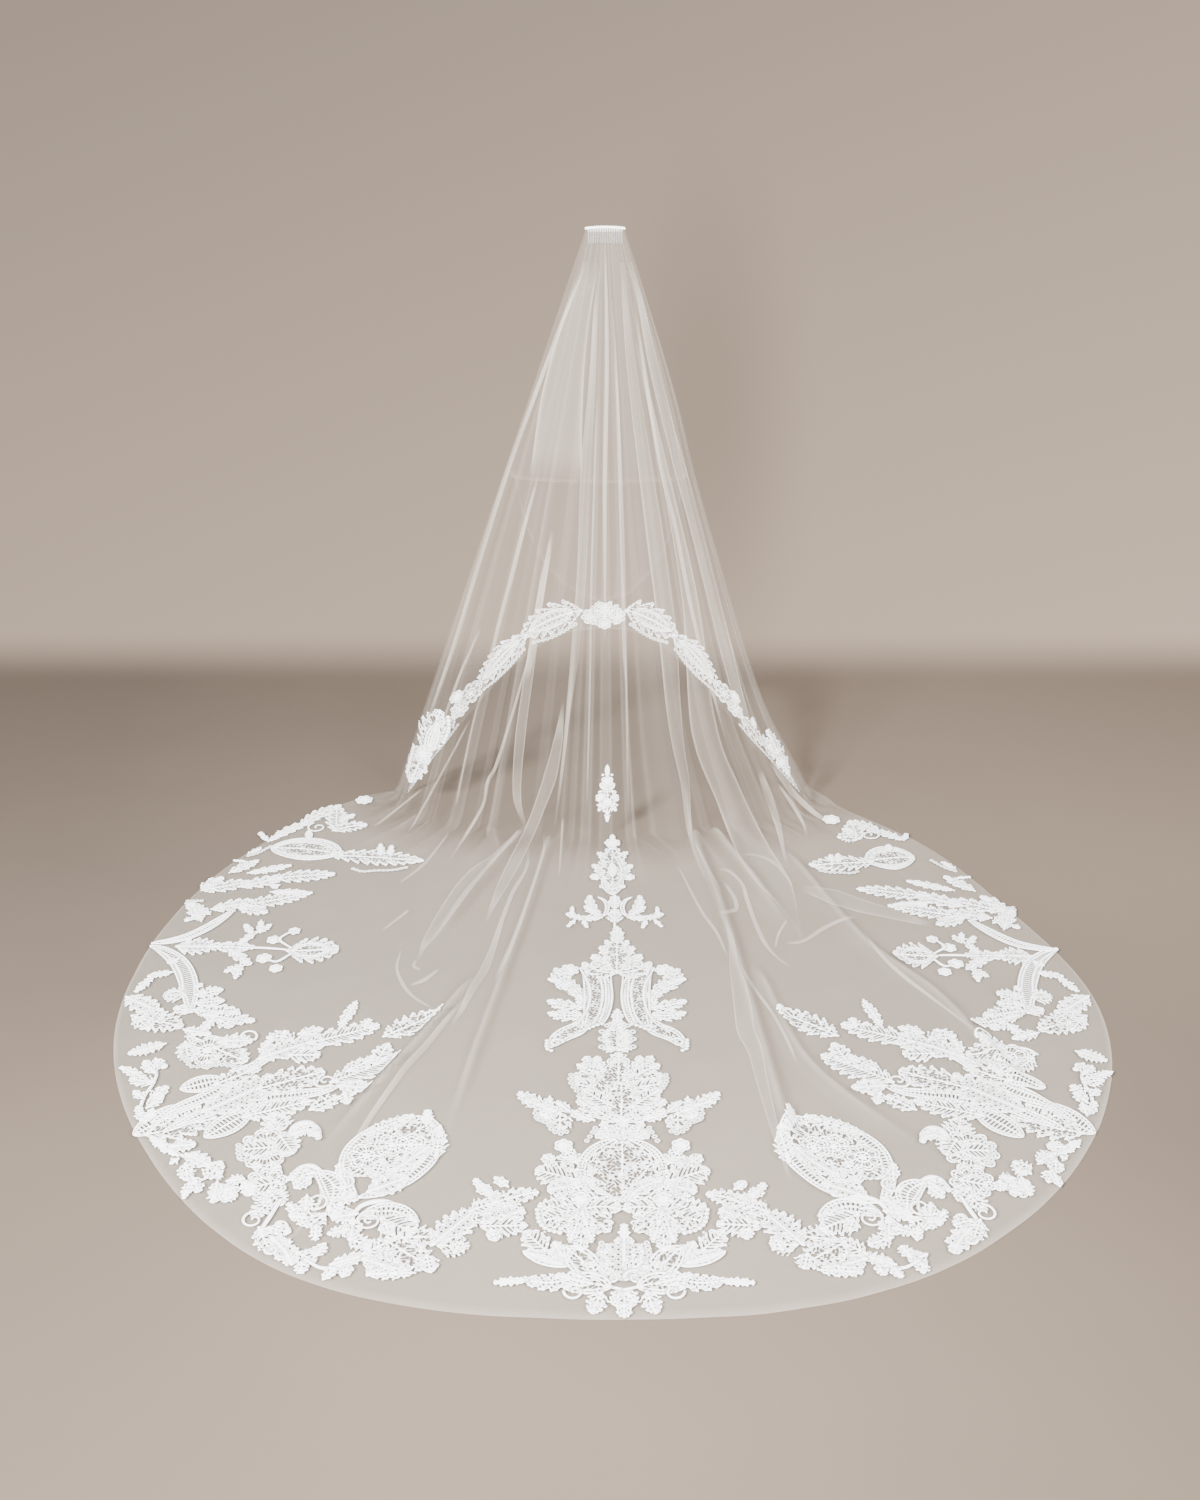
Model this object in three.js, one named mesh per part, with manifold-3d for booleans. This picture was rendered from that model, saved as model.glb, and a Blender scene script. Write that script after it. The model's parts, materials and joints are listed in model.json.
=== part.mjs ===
// A long drop veil of tulle with corded lace, gathered on a hair comb, with its train spread out.
// Millimetres, +Z up. The origin is under the middle of the comb's bar, where the comb is pinned on.
// The train runs out towards -Y, and the short lace-edged side of the veil hangs towards +Y.

import * as THREE from 'three';
import { mergeVertices } from 'three/addons/utils/BufferGeometryUtils.js';
import Module from 'manifold-3d';

// Driving dimensions
const COMB_HEIGHT = 1600;
const COMB_WIDTH = 95;
const TRAIN_REACH = 1825;
const CONE_HALF_WIDTH = 600;
const CONE_FRONT = 100;
const CONE_BACK = 270;
const CONE_MIDDLE = -120;
const ARCH_HEIGHT = 510;
const ARCH_SQUARENESS = 2.8;
const INNER_DROP = 610;
const INNER_TAIL = 380;
const INNER_TAIL_FROM = 100;
const INNER_SPREAD = 0.25;
const PLEAT_DEPTH = 26;
const PLEAT_UNEVEN = { mean: 0.72, swing: 0.28, beat: 2.3 };
const FILLET = 30;
const LEAST_FILLET = 1;
const TULLE = 1.0;
const INNER_TULLE = 1.0;
const LACE = 1.2;
const GAP = 0.3;

// Comb
const BAR_HEIGHT = 5;
const BAR_DEPTH = 8;
const BAR_BOW = 3;
const TOOTH_COUNT = 20;
const TOOTH_LENGTH = 36;
const TOOTH_WIDTH = 2.0;
const TOOTH_DEPTH = 1.0;
const TOOTH_MARGIN = 8;
const TOOTH_TIP = 5;
const TOOTH_SUNK = 2;
const BAR_STEPS = 8;

// Gathered heading, half-sizes of the cloth's middle line
const HEADING = { across: 46, deep: 3.4 };
const INNER_HEADING = { across: 43, deep: 1.8 };
const HEADING_FLATNESS = 0.5;
const INNER_SCALE = { across: 0.94, deep: 0.86 };

// Columns of cloth, in degrees round the comb from the middle of the train
const FRONT_PANEL = 8;
const FLOOR_EDGE = 106;
const FLOOR_COLUMNS = 16;
const AIR_COLUMNS = 7;
const HEM_RUN = 200;

// Rows of cloth, as shares of the hanging length and of what follows it
const HANGING_ROWS = [0, 0.03, 0.09, 0.18, 0.29, 0.41, 0.53, 0.65, 0.77, 0.88, 0.975];
const RUN_OUT_ROWS = [0, 0.02, 0.12, 0.27, 0.45, 0.65, 0.85, 1];
const BAND_FIRST_ROW = 3;
const INNER_ROWS = [0, 0.06, 0.17, 0.32, 0.52, 0.76, 1];

// The train's outline: angle from its middle line, and reach as a share of TRAIN_REACH
const OUTLINE = [
  { angle: -107, reach: 0.352 },
  { angle: -98, reach: 0.412 },
  { angle: -90, reach: 0.462 },
  { angle: -76, reach: 0.567 },
  { angle: -59, reach: 0.713 },
  { angle: -47, reach: 0.820 },
  { angle: -34, reach: 0.912 },
  { angle: -21, reach: 0.986 },
  { angle: 0, reach: 1.000 },
  { angle: 20, reach: 0.994 },
  { angle: 35, reach: 0.926 },
  { angle: 51, reach: 0.800 },
  { angle: 66, reach: 0.612 },
  { angle: 80, reach: 0.492 },
  { angle: 93, reach: 0.392 },
  { angle: 107, reach: 0.338 },
];

// Folds that run out over the floor: column counted from the middle of the train, to its left if
// negative, then height, and how far past the cone the fold reaches
const FLOOR_FOLDS = [
  { column: -5, height: 24, reach: 200 },
  { column: -3, height: 34, reach: 640 },
  { column: -1, height: 30, reach: 600 },
  { column: 1, height: 24, reach: 150 },
  { column: 3, height: 42, reach: 560 },
  { column: 5, height: 30, reach: 300 },
];
const PLEAT_RUN = 70;

// Lace: every leaf has a root and a tip on the floor plan, a width, a sideways bend as a share
// of its length, scallops on each side and gaps cut along its middle
const LACE_LEAVES = {
  shield: [{ root: [21, -142], tip: [20, -398], width: 106, bend: 0, lobes: 4, gaps: 3 }],
  wing_crest: [
    { root: [24, -410], tip: [26, -560], width: 40, bend: 0, lobes: 2, gaps: 1 },
    { root: [30, -525], tip: [-99, -482], width: 66, bend: 0.1, lobes: 2, gaps: 1 },
    { root: [24, -525], tip: [153, -492], width: 66, bend: -0.1, lobes: 2, gaps: 1 },
  ],
  keyhole_arch: [
    { root: [26, -578], tip: [26, -800], width: 150, bend: 0, lobes: 3, gaps: 2 },
    { root: [10, -720], tip: [-125, -1064], width: 120, bend: -0.08, lobes: 3, gaps: 2 },
    { root: [46, -720], tip: [178, -1064], width: 120, bend: 0.08, lobes: 3, gaps: 2 },
    { root: [-20, -880], tip: [-136, -874], width: 74, bend: 0, lobes: 2, gaps: 1 },
    { root: [76, -880], tip: [192, -882], width: 74, bend: 0, lobes: 2, gaps: 1 },
  ],
  pine: [{ root: [28, -940], tip: [27, -1074], width: 78, bend: 0, lobes: 3, gaps: 1 }],
  bloom: [
    { root: [28, -1078], tip: [30, -1288], width: 180, bend: 0, lobes: 4, gaps: 3 },
    { root: [30, -1150], tip: [-72, -1160], width: 90, bend: 0, lobes: 2, gaps: 1 },
    { root: [30, -1150], tip: [134, -1166], width: 90, bend: 0, lobes: 2, gaps: 1 },
  ],
  spray_left: [{ root: [-30, -1302], tip: [-182, -1212], width: 66, bend: 0, lobes: 4, gaps: 2 }],
  spray_right: [{ root: [88, -1302], tip: [237, -1216], width: 66, bend: 0, lobes: 4, gaps: 2 }],
  bell_medallion: [
    { root: [30, -1290], tip: [30, -1605], width: 168, bend: 0, lobes: 4, gaps: 3 },
    { root: [24, -1560], tip: [-134, -1566], width: 124, bend: 0, lobes: 3, gaps: 1 },
    { root: [34, -1560], tip: [196, -1568], width: 124, bend: 0, lobes: 3, gaps: 1 },
    { root: [10, -1490], tip: [-138, -1440], width: 88, bend: 0, lobes: 2, gaps: 1 },
    { root: [50, -1490], tip: [196, -1446], width: 88, bend: 0, lobes: 2, gaps: 1 },
  ],
  palmette: [
    { root: [31, -1810], tip: [30, -1640], width: 76, bend: 0, lobes: 3, gaps: 2 },
    { root: [40, -1775], tip: [-132, -1652], width: 62, bend: 0.1, lobes: 3, gaps: 1 },
    { root: [22, -1775], tip: [192, -1652], width: 62, bend: -0.1, lobes: 3, gaps: 1 },
    { root: [40, -1790], tip: [-202, -1742], width: 44, bend: -0.08, lobes: 3, gaps: 1 },
    { root: [22, -1790], tip: [258, -1744], width: 44, bend: 0.08, lobes: 3, gaps: 1 },
  ],
  side_scroll_left: [{ root: [-700, -36], tip: [-900, -96], width: 72, bend: 0.04, lobes: 4, gaps: 2 }],
  egg_leaf_left: [
    { root: [-905, -178], tip: [-690, -216], width: 124, bend: 0, lobes: 3, gaps: 3 },
    { root: [-740, -204], tip: [-548, -236], width: 74, bend: 0, lobes: 4, gaps: 2 },
  ],
  upper_leaf_left: [{ root: [-1020, -372], tip: [-735, -312], width: 78, bend: 0, lobes: 5, gaps: 3 }],
  inner_leaf_left: [{ root: [-1080, -640], tip: [-765, -404], width: 66, bend: 0.06, lobes: 5, gaps: 3 }],
  stem_bud_left: [
    { root: [-815, -664], tip: [-650, -668], width: 96, bend: 0, lobes: 3, gaps: 2 },
    { root: [-1010, -672], tip: [-780, -664], width: 56, bend: 0, lobes: 3, gaps: 2 },
  ],
  edge_leaf_left: [
    { root: [-1070, -740], tip: [-940, -870], width: 66, bend: -0.1, lobes: 3, gaps: 1 },
    { root: [-985, -830], tip: [-800, -955], width: 104, bend: 0, lobes: 4, gaps: 2 },
  ],
  edge_spray_left: [{ root: [-1082, -905], tip: [-950, -995], width: 84, bend: 0, lobes: 3, gaps: 1 }],
  crest_left: [{ root: [-955, -1045], tip: [-785, -1035], width: 96, bend: 0, lobes: 4, gaps: 2 }],
  twig_left: [{ root: [-1000, -1140], tip: [-950, -1310], width: 52, bend: 0, lobes: 4, gaps: 1 }],
  big_leaf_left: [
    { root: [-930, -1345], tip: [-560, -1130], width: 185, bend: 0, lobes: 5, gaps: 4 },
    { root: [-680, -1150], tip: [-384, -934], width: 64, bend: -0.06, lobes: 4, gaps: 2 },
    { root: [-720, -1200], tip: [-462, -1084], width: 72, bend: 0, lobes: 4, gaps: 2 },
  ],
  flower_spray_left: [
    { root: [-724, -1392], tip: [-590, -1350], width: 124, bend: 0, lobes: 3, gaps: 2 },
    { root: [-690, -1400], tip: [-600, -1690], width: 88, bend: 0, lobes: 5, gaps: 3 },
  ],
  border_spray_left: [{ root: [-890, -1372], tip: [-785, -1500], width: 48, bend: 0, lobes: 3, gaps: 1 }],
  lower_sprig_left: [{ root: [-762, -1472], tip: [-716, -1560], width: 46, bend: 0, lobes: 3, gaps: 0 }],
  oval_medallion_left: [
    { root: [-506, -1482], tip: [-376, -1272], width: 160, bend: 0, lobes: 4, gaps: 4 },
  ],
  curl_left: [{ root: [-528, -1585], tip: [-568, -1450], width: 74, bend: -0.12, lobes: 3, gaps: 2 }],
  long_curl_left: [{ root: [-480, -1590], tip: [-362, -1612], width: 62, bend: 0.12, lobes: 3, gaps: 1 }],
  swag_left: [
    { root: [-556, -1712], tip: [-380, -1688], width: 50, bend: 0, lobes: 3, gaps: 1 },
    { root: [-430, -1700], tip: [-160, -1572], width: 78, bend: 0, lobes: 5, gaps: 3 },
  ],
  side_scroll_right: [{ root: [668, -100], tip: [805, -108], width: 70, bend: 0, lobes: 4, gaps: 2 }],
  egg_leaf_right: [
    { root: [835, -226], tip: [655, -258], width: 120, bend: 0, lobes: 3, gaps: 3 },
    { root: [700, -250], tip: [588, -264], width: 66, bend: 0, lobes: 3, gaps: 1 },
  ],
  upper_leaf_right: [{ root: [985, -470], tip: [680, -392], width: 70, bend: 0, lobes: 5, gaps: 3 }],
  inner_leaf_right: [{ root: [1070, -672], tip: [730, -468], width: 50, bend: -0.04, lobes: 4, gaps: 2 }],
  stem_bud_right: [
    { root: [850, -700], tip: [700, -688], width: 92, bend: 0, lobes: 3, gaps: 2 },
    { root: [1000, -712], tip: [820, -700], width: 50, bend: 0, lobes: 3, gaps: 1 },
  ],
  edge_leaf_right: [
    { root: [1070, -750], tip: [975, -840], width: 60, bend: 0.1, lobes: 2, gaps: 1 },
    { root: [1010, -810], tip: [830, -968], width: 108, bend: 0, lobes: 4, gaps: 3 },
  ],
  edge_spray_right: [{ root: [1096, -905], tip: [972, -1008], width: 82, bend: 0, lobes: 3, gaps: 1 }],
  crest_right: [{ root: [948, -1112], tip: [826, -1030], width: 88, bend: 0, lobes: 3, gaps: 2 }],
  twig_right: [{ root: [1050, -1150], tip: [1000, -1285], width: 50, bend: 0, lobes: 3, gaps: 1 }],
  big_leaf_right: [
    { root: [965, -1340], tip: [610, -1115], width: 180, bend: 0, lobes: 5, gaps: 4 },
    { root: [725, -1140], tip: [405, -932], width: 64, bend: 0.06, lobes: 4, gaps: 2 },
    { root: [760, -1200], tip: [510, -1070], width: 70, bend: 0, lobes: 4, gaps: 2 },
  ],
  flower_spray_right: [
    { root: [780, -1395], tip: [650, -1345], width: 118, bend: 0, lobes: 3, gaps: 2 },
    { root: [735, -1405], tip: [662, -1662], width: 78, bend: 0, lobes: 5, gaps: 3 },
  ],
  border_spray_right: [{ root: [935, -1375], tip: [860, -1475], width: 44, bend: 0, lobes: 3, gaps: 0 }],
  lower_sprig_right: [{ root: [815, -1462], tip: [790, -1540], width: 44, bend: 0, lobes: 2, gaps: 0 }],
  oval_medallion_right: [
    { root: [550, -1488], tip: [388, -1274], width: 164, bend: 0, lobes: 4, gaps: 4 },
  ],
  curl_right: [{ root: [572, -1590], tip: [622, -1478], width: 60, bend: 0.12, lobes: 3, gaps: 1 }],
  long_curl_right: [{ root: [535, -1584], tip: [408, -1600], width: 58, bend: -0.12, lobes: 3, gaps: 1 }],
  swag_right: [
    { root: [575, -1712], tip: [430, -1694], width: 50, bend: 0, lobes: 3, gaps: 1 },
    { root: [480, -1702], tip: [218, -1572], width: 76, bend: 0, lobes: 5, gaps: 3 },
  ],
};
const SCALLOP = 0.24;
const LEAF_FULLNESS = 0.6;
const GAP_WIDTH = 0.34;
const GAP_LENGTH = 0.32;
const GAP_SPACING = 0.62;

// The finial hangs on the front panel, a little above the floor
const FINIAL = { length: 172, width: 70, side: 8, aboveFloor: 50, lobes: 4, gaps: 2 };

const DEGREE = Math.PI / 180;
const FLOOR_Z = -COMB_HEIGHT;
const WELD = 1e-3;

const tulleLook = new THREE.MeshStandardMaterial({
  color: 0xf1eee8,
  roughness: 0.85,
  metalness: 0,
  transparent: true,
  opacity: 0.35,
  side: THREE.DoubleSide,
});
const laceLook = new THREE.MeshStandardMaterial({ color: 0xf7f5f1, roughness: 0.75, metalness: 0 });
const combLook = new THREE.MeshStandardMaterial({ color: 0xf4f2ee, roughness: 0.4, metalness: 0 });

const wasm = await Module();
wasm.setup();

const veil = new THREE.Group();

function addPiece(name, geometry, material) {
  const mesh = new THREE.Mesh(geometry, material);
  mesh.name = name;
  veil.add(mesh);
  return mesh;
}

function toSolid(geometry) {
  const plain = geometry.clone();
  plain.deleteAttribute('normal');
  plain.deleteAttribute('uv');
  const merged = mergeVertices(plain, WELD);
  return new wasm.Manifold(new wasm.Mesh({
    numProp: 3,
    vertProperties: new Float32Array(merged.attributes.position.array),
    triVerts: new Uint32Array(merged.index.array),
  }));
}

function fromSolid(solid) {
  const mesh = solid.getMesh();
  const geometry = new THREE.BufferGeometry();
  geometry.setAttribute('position', new THREE.BufferAttribute(mesh.vertProperties, 3));
  geometry.setIndex(new THREE.BufferAttribute(mesh.triVerts, 1));
  geometry.computeVertexNormals();
  return geometry;
}

function extrude(points, depth) {
  const shape = new THREE.Shape(points);
  return new THREE.ExtrudeGeometry(shape, { depth, bevelEnabled: false });
}

function clamp01(value) {
  return Math.min(1, Math.max(0, value));
}

function smoothStep(value) {
  const t = clamp01(value);
  return t * t * (3 - 2 * t);
}

// A smooth curve through the rows of a table
function tableValue(rows, key, field, at) {
  let k = 1;
  while (k < rows.length - 2 && rows[k][key] < at) k += 1;
  const before = rows[Math.max(0, k - 2)];
  const low = rows[k - 1];
  const high = rows[k];
  const after = rows[Math.min(rows.length - 1, k + 1)];
  const span = high[key] - low[key];
  const t = clamp01((at - low[key]) / span);
  const slopeLow = (high[field] - before[field]) / (high[key] - before[key]);
  const slopeHigh = (after[field] - low[field]) / (after[key] - low[key]);
  const t2 = t * t;
  const t3 = t2 * t;
  return low[field] * (2 * t3 - 3 * t2 + 1) + slopeLow * span * (t3 - 2 * t2 + t)
    + high[field] * (3 * t2 - 2 * t3) + slopeHigh * span * (t3 - t2);
}

// Underside of the comb's bar at a place across it
function barUnderside(x) {
  const share = x / (COMB_WIDTH / 2);
  return -BAR_BOW * share * share;
}

// The gathered top edge of a layer, at one column
function headingPoint(angle, heading) {
  const x = heading.across * Math.sin(angle * DEGREE);
  const turn = Math.cos(angle * DEGREE);
  const y = -heading.deep * Math.sign(turn) * Math.pow(Math.abs(turn), HEADING_FLATNESS);
  return new THREE.Vector3(x, y, barUnderside(x) - GAP);
}

// Where a column would meet the floor
function footPoint(angle) {
  const turn = Math.cos(angle * DEGREE);
  const front = CONE_FRONT - CONE_MIDDLE;
  const back = CONE_BACK + CONE_MIDDLE;
  const forward = CONE_MIDDLE + (turn > 0 ? front : back) * turn;
  return new THREE.Vector3(CONE_HALF_WIDTH * Math.sin(angle * DEGREE), -forward, FLOOR_Z + TULLE / 2);
}

// Where a column ends: on the floor outline, or in the air on the arched hem
function hemPoint(angle) {
  const top = headingPoint(angle, HEADING);
  const foot = footPoint(angle);
  if (Math.abs(angle) <= FLOOR_EDGE) {
    const reach = TRAIN_REACH * tableValue(OUTLINE, 'angle', 'reach', angle);
    return new THREE.Vector3(
      reach * Math.sin(angle * DEGREE),
      -reach * Math.cos(angle * DEGREE),
      FLOOR_Z + TULLE / 2,
    );
  }
  const across = Math.abs(Math.sin(angle * DEGREE)) / Math.sin(FLOOR_EDGE * DEGREE);
  const height = ARCH_HEIGHT * (1 - Math.pow(across, ARCH_SQUARENESS));
  return top.clone().lerp(foot, 1 - height / COMB_HEIGHT);
}

// The path of one column: its length down to the floor, and its whole length
function columnLengths(angle) {
  const top = headingPoint(angle, HEADING);
  const hem = hemPoint(angle);
  if (Math.abs(angle) > FLOOR_EDGE) {
    const whole = top.distanceTo(hem);
    return { hanging: whole, whole, kink: whole - HEM_RUN };
  }
  const foot = footPoint(angle);
  const hanging = top.distanceTo(foot);
  const whole = hanging + foot.distanceTo(hem);
  return { hanging, whole, kink: Math.min(hanging, whole - HEM_RUN) };
}

function straightPath(angle, along, lengths) {
  const top = headingPoint(angle, HEADING);
  const hem = hemPoint(angle);
  if (Math.abs(angle) > FLOOR_EDGE) return top.lerp(hem, along / lengths.whole);
  const foot = footPoint(angle);
  if (along <= lengths.hanging) return top.lerp(foot, along / lengths.hanging);
  return foot.lerp(hem, (along - lengths.hanging) / (lengths.whole - lengths.hanging));
}

// The smooth cloth before pleating: the corner at the floor is rounded
function basePoint(angle, along) {
  const lengths = columnLengths(angle);
  const radius = Math.min(FILLET, lengths.whole - lengths.hanging);
  const fromCorner = along - lengths.hanging;
  if (radius > LEAST_FILLET && Math.abs(fromCorner) < radius) {
    const t = (fromCorner + radius) / (2 * radius);
    const start = straightPath(angle, lengths.hanging - radius, lengths);
    const corner = straightPath(angle, lengths.hanging, lengths);
    const end = straightPath(angle, lengths.hanging + radius, lengths);
    const first = start.lerp(corner, t);
    const second = corner.clone().lerp(end, t);
    return first.lerp(second, t);
  }
  return straightPath(angle, along, lengths);
}

// Out of the cone while the cloth hangs, and up once it lies on the floor
function outward(angle, along) {
  const lengths = columnLengths(angle);
  const turn = Math.cos(angle * DEGREE);
  const depth = turn > 0 ? CONE_FRONT - CONE_MIDDLE : CONE_BACK + CONE_MIDDLE;
  const side = new THREE.Vector3(Math.sin(angle * DEGREE) / CONE_HALF_WIDTH, -turn / depth, 0).normalize();
  if (Math.abs(angle) > FLOOR_EDGE) return side;
  const lying = smoothStep((along - lengths.hanging + FILLET) / (2 * FILLET));
  return side.lerp(new THREE.Vector3(0, 0, 1), lying).normalize();
}

// Angles of the columns all the way round, and which of them stand out as pleats
function clothColumns() {
  const half = [];
  for (let k = 0; k <= FLOOR_COLUMNS; k += 1) {
    half.push(FRONT_PANEL + (FLOOR_EDGE - FRONT_PANEL) * k / FLOOR_COLUMNS);
  }
  for (let k = 1; k <= AIR_COLUMNS; k += 1) {
    half.push(FLOOR_EDGE + (180 - FLOOR_EDGE) * k / AIR_COLUMNS);
  }
  const right = half.map((angle, k) => ({ angle, raised: k % 2 === 1, rank: k }));
  const mirrored = right.slice(0, -1).reverse();
  const left = mirrored.map((column) => ({ ...column, angle: -column.angle, rank: -column.rank }));
  return [...left, ...right];
}

function pleatHeight(column, along, lengths) {
  if (!column.raised) return 0;
  const { mean, swing, beat } = PLEAT_UNEVEN;
  const full = PLEAT_DEPTH * (mean + swing * Math.cos(column.rank * beat));
  const pastFloor = along - lengths.hanging;
  if (Math.abs(column.angle) > FLOOR_EDGE || pastFloor <= 0) return full * along / COMB_HEIGHT;
  let height = full * (1 - pastFloor / PLEAT_RUN);
  for (const fold of FLOOR_FOLDS) {
    if (fold.column === column.rank) {
      const risen = fold.height + (full - fold.height) * clamp01(1 - pastFloor / PLEAT_RUN);
      height = Math.max(height, risen * Math.sqrt(clamp01(1 - pastFloor / fold.reach)));
    }
  }
  return Math.max(0, height);
}

function clothPoint(column, along, lengths) {
  const point = basePoint(column.angle, along);
  return point.addScaledVector(outward(column.angle, along), pleatHeight(column, along, lengths));
}

function gridNormals(grid) {
  const rows = grid.length;
  const columns = grid[0].length;
  return grid.map((row, j) => row.map((point, i) => {
    const around = row[(i + 1) % columns].clone().sub(row[(i + columns - 1) % columns]);
    const down = grid[Math.min(rows - 1, j + 1)][i].clone().sub(grid[Math.max(0, j - 1)][i]);
    const normal = down.cross(around);
    if (j === 0) normal.z = 0;
    return normal.normalize();
  }));
}

// A closed shell: one sheet each side of a grid of points that runs round in a loop
function loopShell(grid, normals, thickness) {
  const rows = grid.length;
  const columns = grid[0].length;
  const positions = [];
  for (const side of [0.5, -0.5]) {
    for (let j = 0; j < rows; j += 1) {
      for (let i = 0; i < columns; i += 1) {
        const p = grid[j][i].clone().addScaledVector(normals[j][i], side * thickness);
        positions.push(p.x, p.y, p.z);
      }
    }
  }
  const far = rows * columns;
  const faces = [];
  const quad = (a, b, c, d) => faces.push(a, b, c, a, c, d);
  for (let i = 0; i < columns; i += 1) {
    const next = (i + 1) % columns;
    for (let j = 0; j < rows - 1; j += 1) {
      const a = j * columns + i;
      const b = j * columns + next;
      quad(a, a + columns, b + columns, b);
      faces.push(far + a, far + b, far + b + columns, far + a, far + b + columns, far + a + columns);
    }
    const last = (rows - 1) * columns;
    quad(far + i, i, next, far + next);
    quad(last + i, far + last + i, far + last + next, last + next);
  }
  return solidGeometry(positions, faces);
}

function solidGeometry(positions, faces) {
  const geometry = new THREE.BufferGeometry();
  geometry.setAttribute('position', new THREE.Float32BufferAttribute(positions, 3));
  geometry.setIndex(faces);
  if (signedVolume(positions, faces) < 0) {
    for (let k = 0; k < faces.length; k += 3) {
      const keep = faces[k + 1];
      faces[k + 1] = faces[k + 2];
      faces[k + 2] = keep;
    }
    geometry.setIndex(faces);
  }
  geometry.computeVertexNormals();
  return geometry;
}

function signedVolume(positions, faces) {
  const corner = (k) => new THREE.Vector3().fromArray(positions, 3 * faces[k]);
  let volume = 0;
  for (let k = 0; k < faces.length; k += 3) {
    volume += corner(k).dot(corner(k + 1).cross(corner(k + 2))) / 6;
  }
  return volume;
}

// The main tulle, and the pierced lace band along its arched hem
const columns = clothColumns();
const tulleGrid = [];
for (let j = 0; j < HANGING_ROWS.length + RUN_OUT_ROWS.length; j += 1) {
  tulleGrid.push(columns.map((column) => {
    const lengths = columnLengths(column.angle);
    const hangs = j < HANGING_ROWS.length;
    const share = hangs ? HANGING_ROWS[j] : RUN_OUT_ROWS[j - HANGING_ROWS.length];
    const along = hangs ? share * lengths.kink : lengths.kink + share * (lengths.whole - lengths.kink);
    return clothPoint(column, along, lengths);
  }));
}
const tulleNormals = gridNormals(tulleGrid);

function buildTulle() {
  addPiece('veil_tulle', loopShell(tulleGrid, tulleNormals, TULLE), tulleLook);
}

function buildHemLace() {
  const firstRow = HANGING_ROWS.length + BAND_FIRST_ROW;
  const rowCount = tulleGrid.length - firstRow;
  const picked = [];
  for (let i = 0; i < columns.length; i += 1) {
    if (columns[i].angle >= FLOOR_EDGE) picked.push(i);
  }
  for (let i = 0; i < columns.length; i += 1) {
    if (columns[i].angle <= -FLOOR_EDGE) picked.push(i);
  }
  // Every other cell of the first and third rows is left open
  const solidCell = (j, i) => {
    if (j === 0) return i % 2 === 1;
    if (j === 2) return i % 2 === 0;
    return true;
  };
  const positions = [];
  const seat = TULLE / 2 + GAP;
  for (const lift of [seat + LACE, seat]) {
    for (let j = 0; j < rowCount; j += 1) {
      for (const i of picked) {
        const p = tulleGrid[firstRow + j][i].clone();
        p.addScaledVector(tulleNormals[firstRow + j][i], lift);
        positions.push(p.x, p.y, p.z);
      }
    }
  }
  const width = picked.length;
  const far = rowCount * width;
  const faces = [];
  const isSolid = (j, i) => j >= 0 && i >= 0 && j < rowCount - 1 && i < width - 1 && solidCell(j, i);
  const wall = (p, q) => faces.push(p, far + p, far + q, p, far + q, q);
  for (let j = 0; j < rowCount - 1; j += 1) {
    for (let i = 0; i < width - 1; i += 1) {
      if (isSolid(j, i)) {
        const a = j * width + i;
        const b = a + 1;
        const c = a + width;
        const d = c + 1;
        faces.push(a, c, d, a, d, b, far + a, far + d, far + c, far + a, far + b, far + d);
        if (!isSolid(j - 1, i)) wall(b, a);
        if (!isSolid(j + 1, i)) wall(c, d);
        if (!isSolid(j, i - 1)) wall(a, c);
        if (!isSolid(j, i + 1)) wall(d, b);
      }
    }
  }
  addPiece('hem_lace', solidGeometry(positions, faces), laceLook);
}

// The short inner layer, inside the cone
function buildInnerTulle() {
  const inner = columns.filter((column) => !column.raised);
  const grid = INNER_ROWS.map((share) => inner.map((column) => {
    const start = headingPoint(column.angle, INNER_HEADING);
    const behind = smoothStep((Math.abs(column.angle) - INNER_TAIL_FROM) / (180 - INNER_TAIL_FROM));
    const drop = share * (INNER_DROP + INNER_TAIL * behind);
    const top = headingPoint(column.angle, HEADING);
    const foot = footPoint(column.angle);
    const wall = top.clone().lerp(foot, drop / COMB_HEIGHT);
    const spread = clamp01(share / INNER_SPREAD);
    const x = start.x + (wall.x * INNER_SCALE.across - start.x) * spread;
    const y = start.y + (wall.y * INNER_SCALE.deep - start.y) * spread;
    return new THREE.Vector3(x, y, start.z - drop);
  }));
  addPiece('inner_tulle', loopShell(grid, gridNormals(grid), INNER_TULLE), tulleLook);
}

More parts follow.
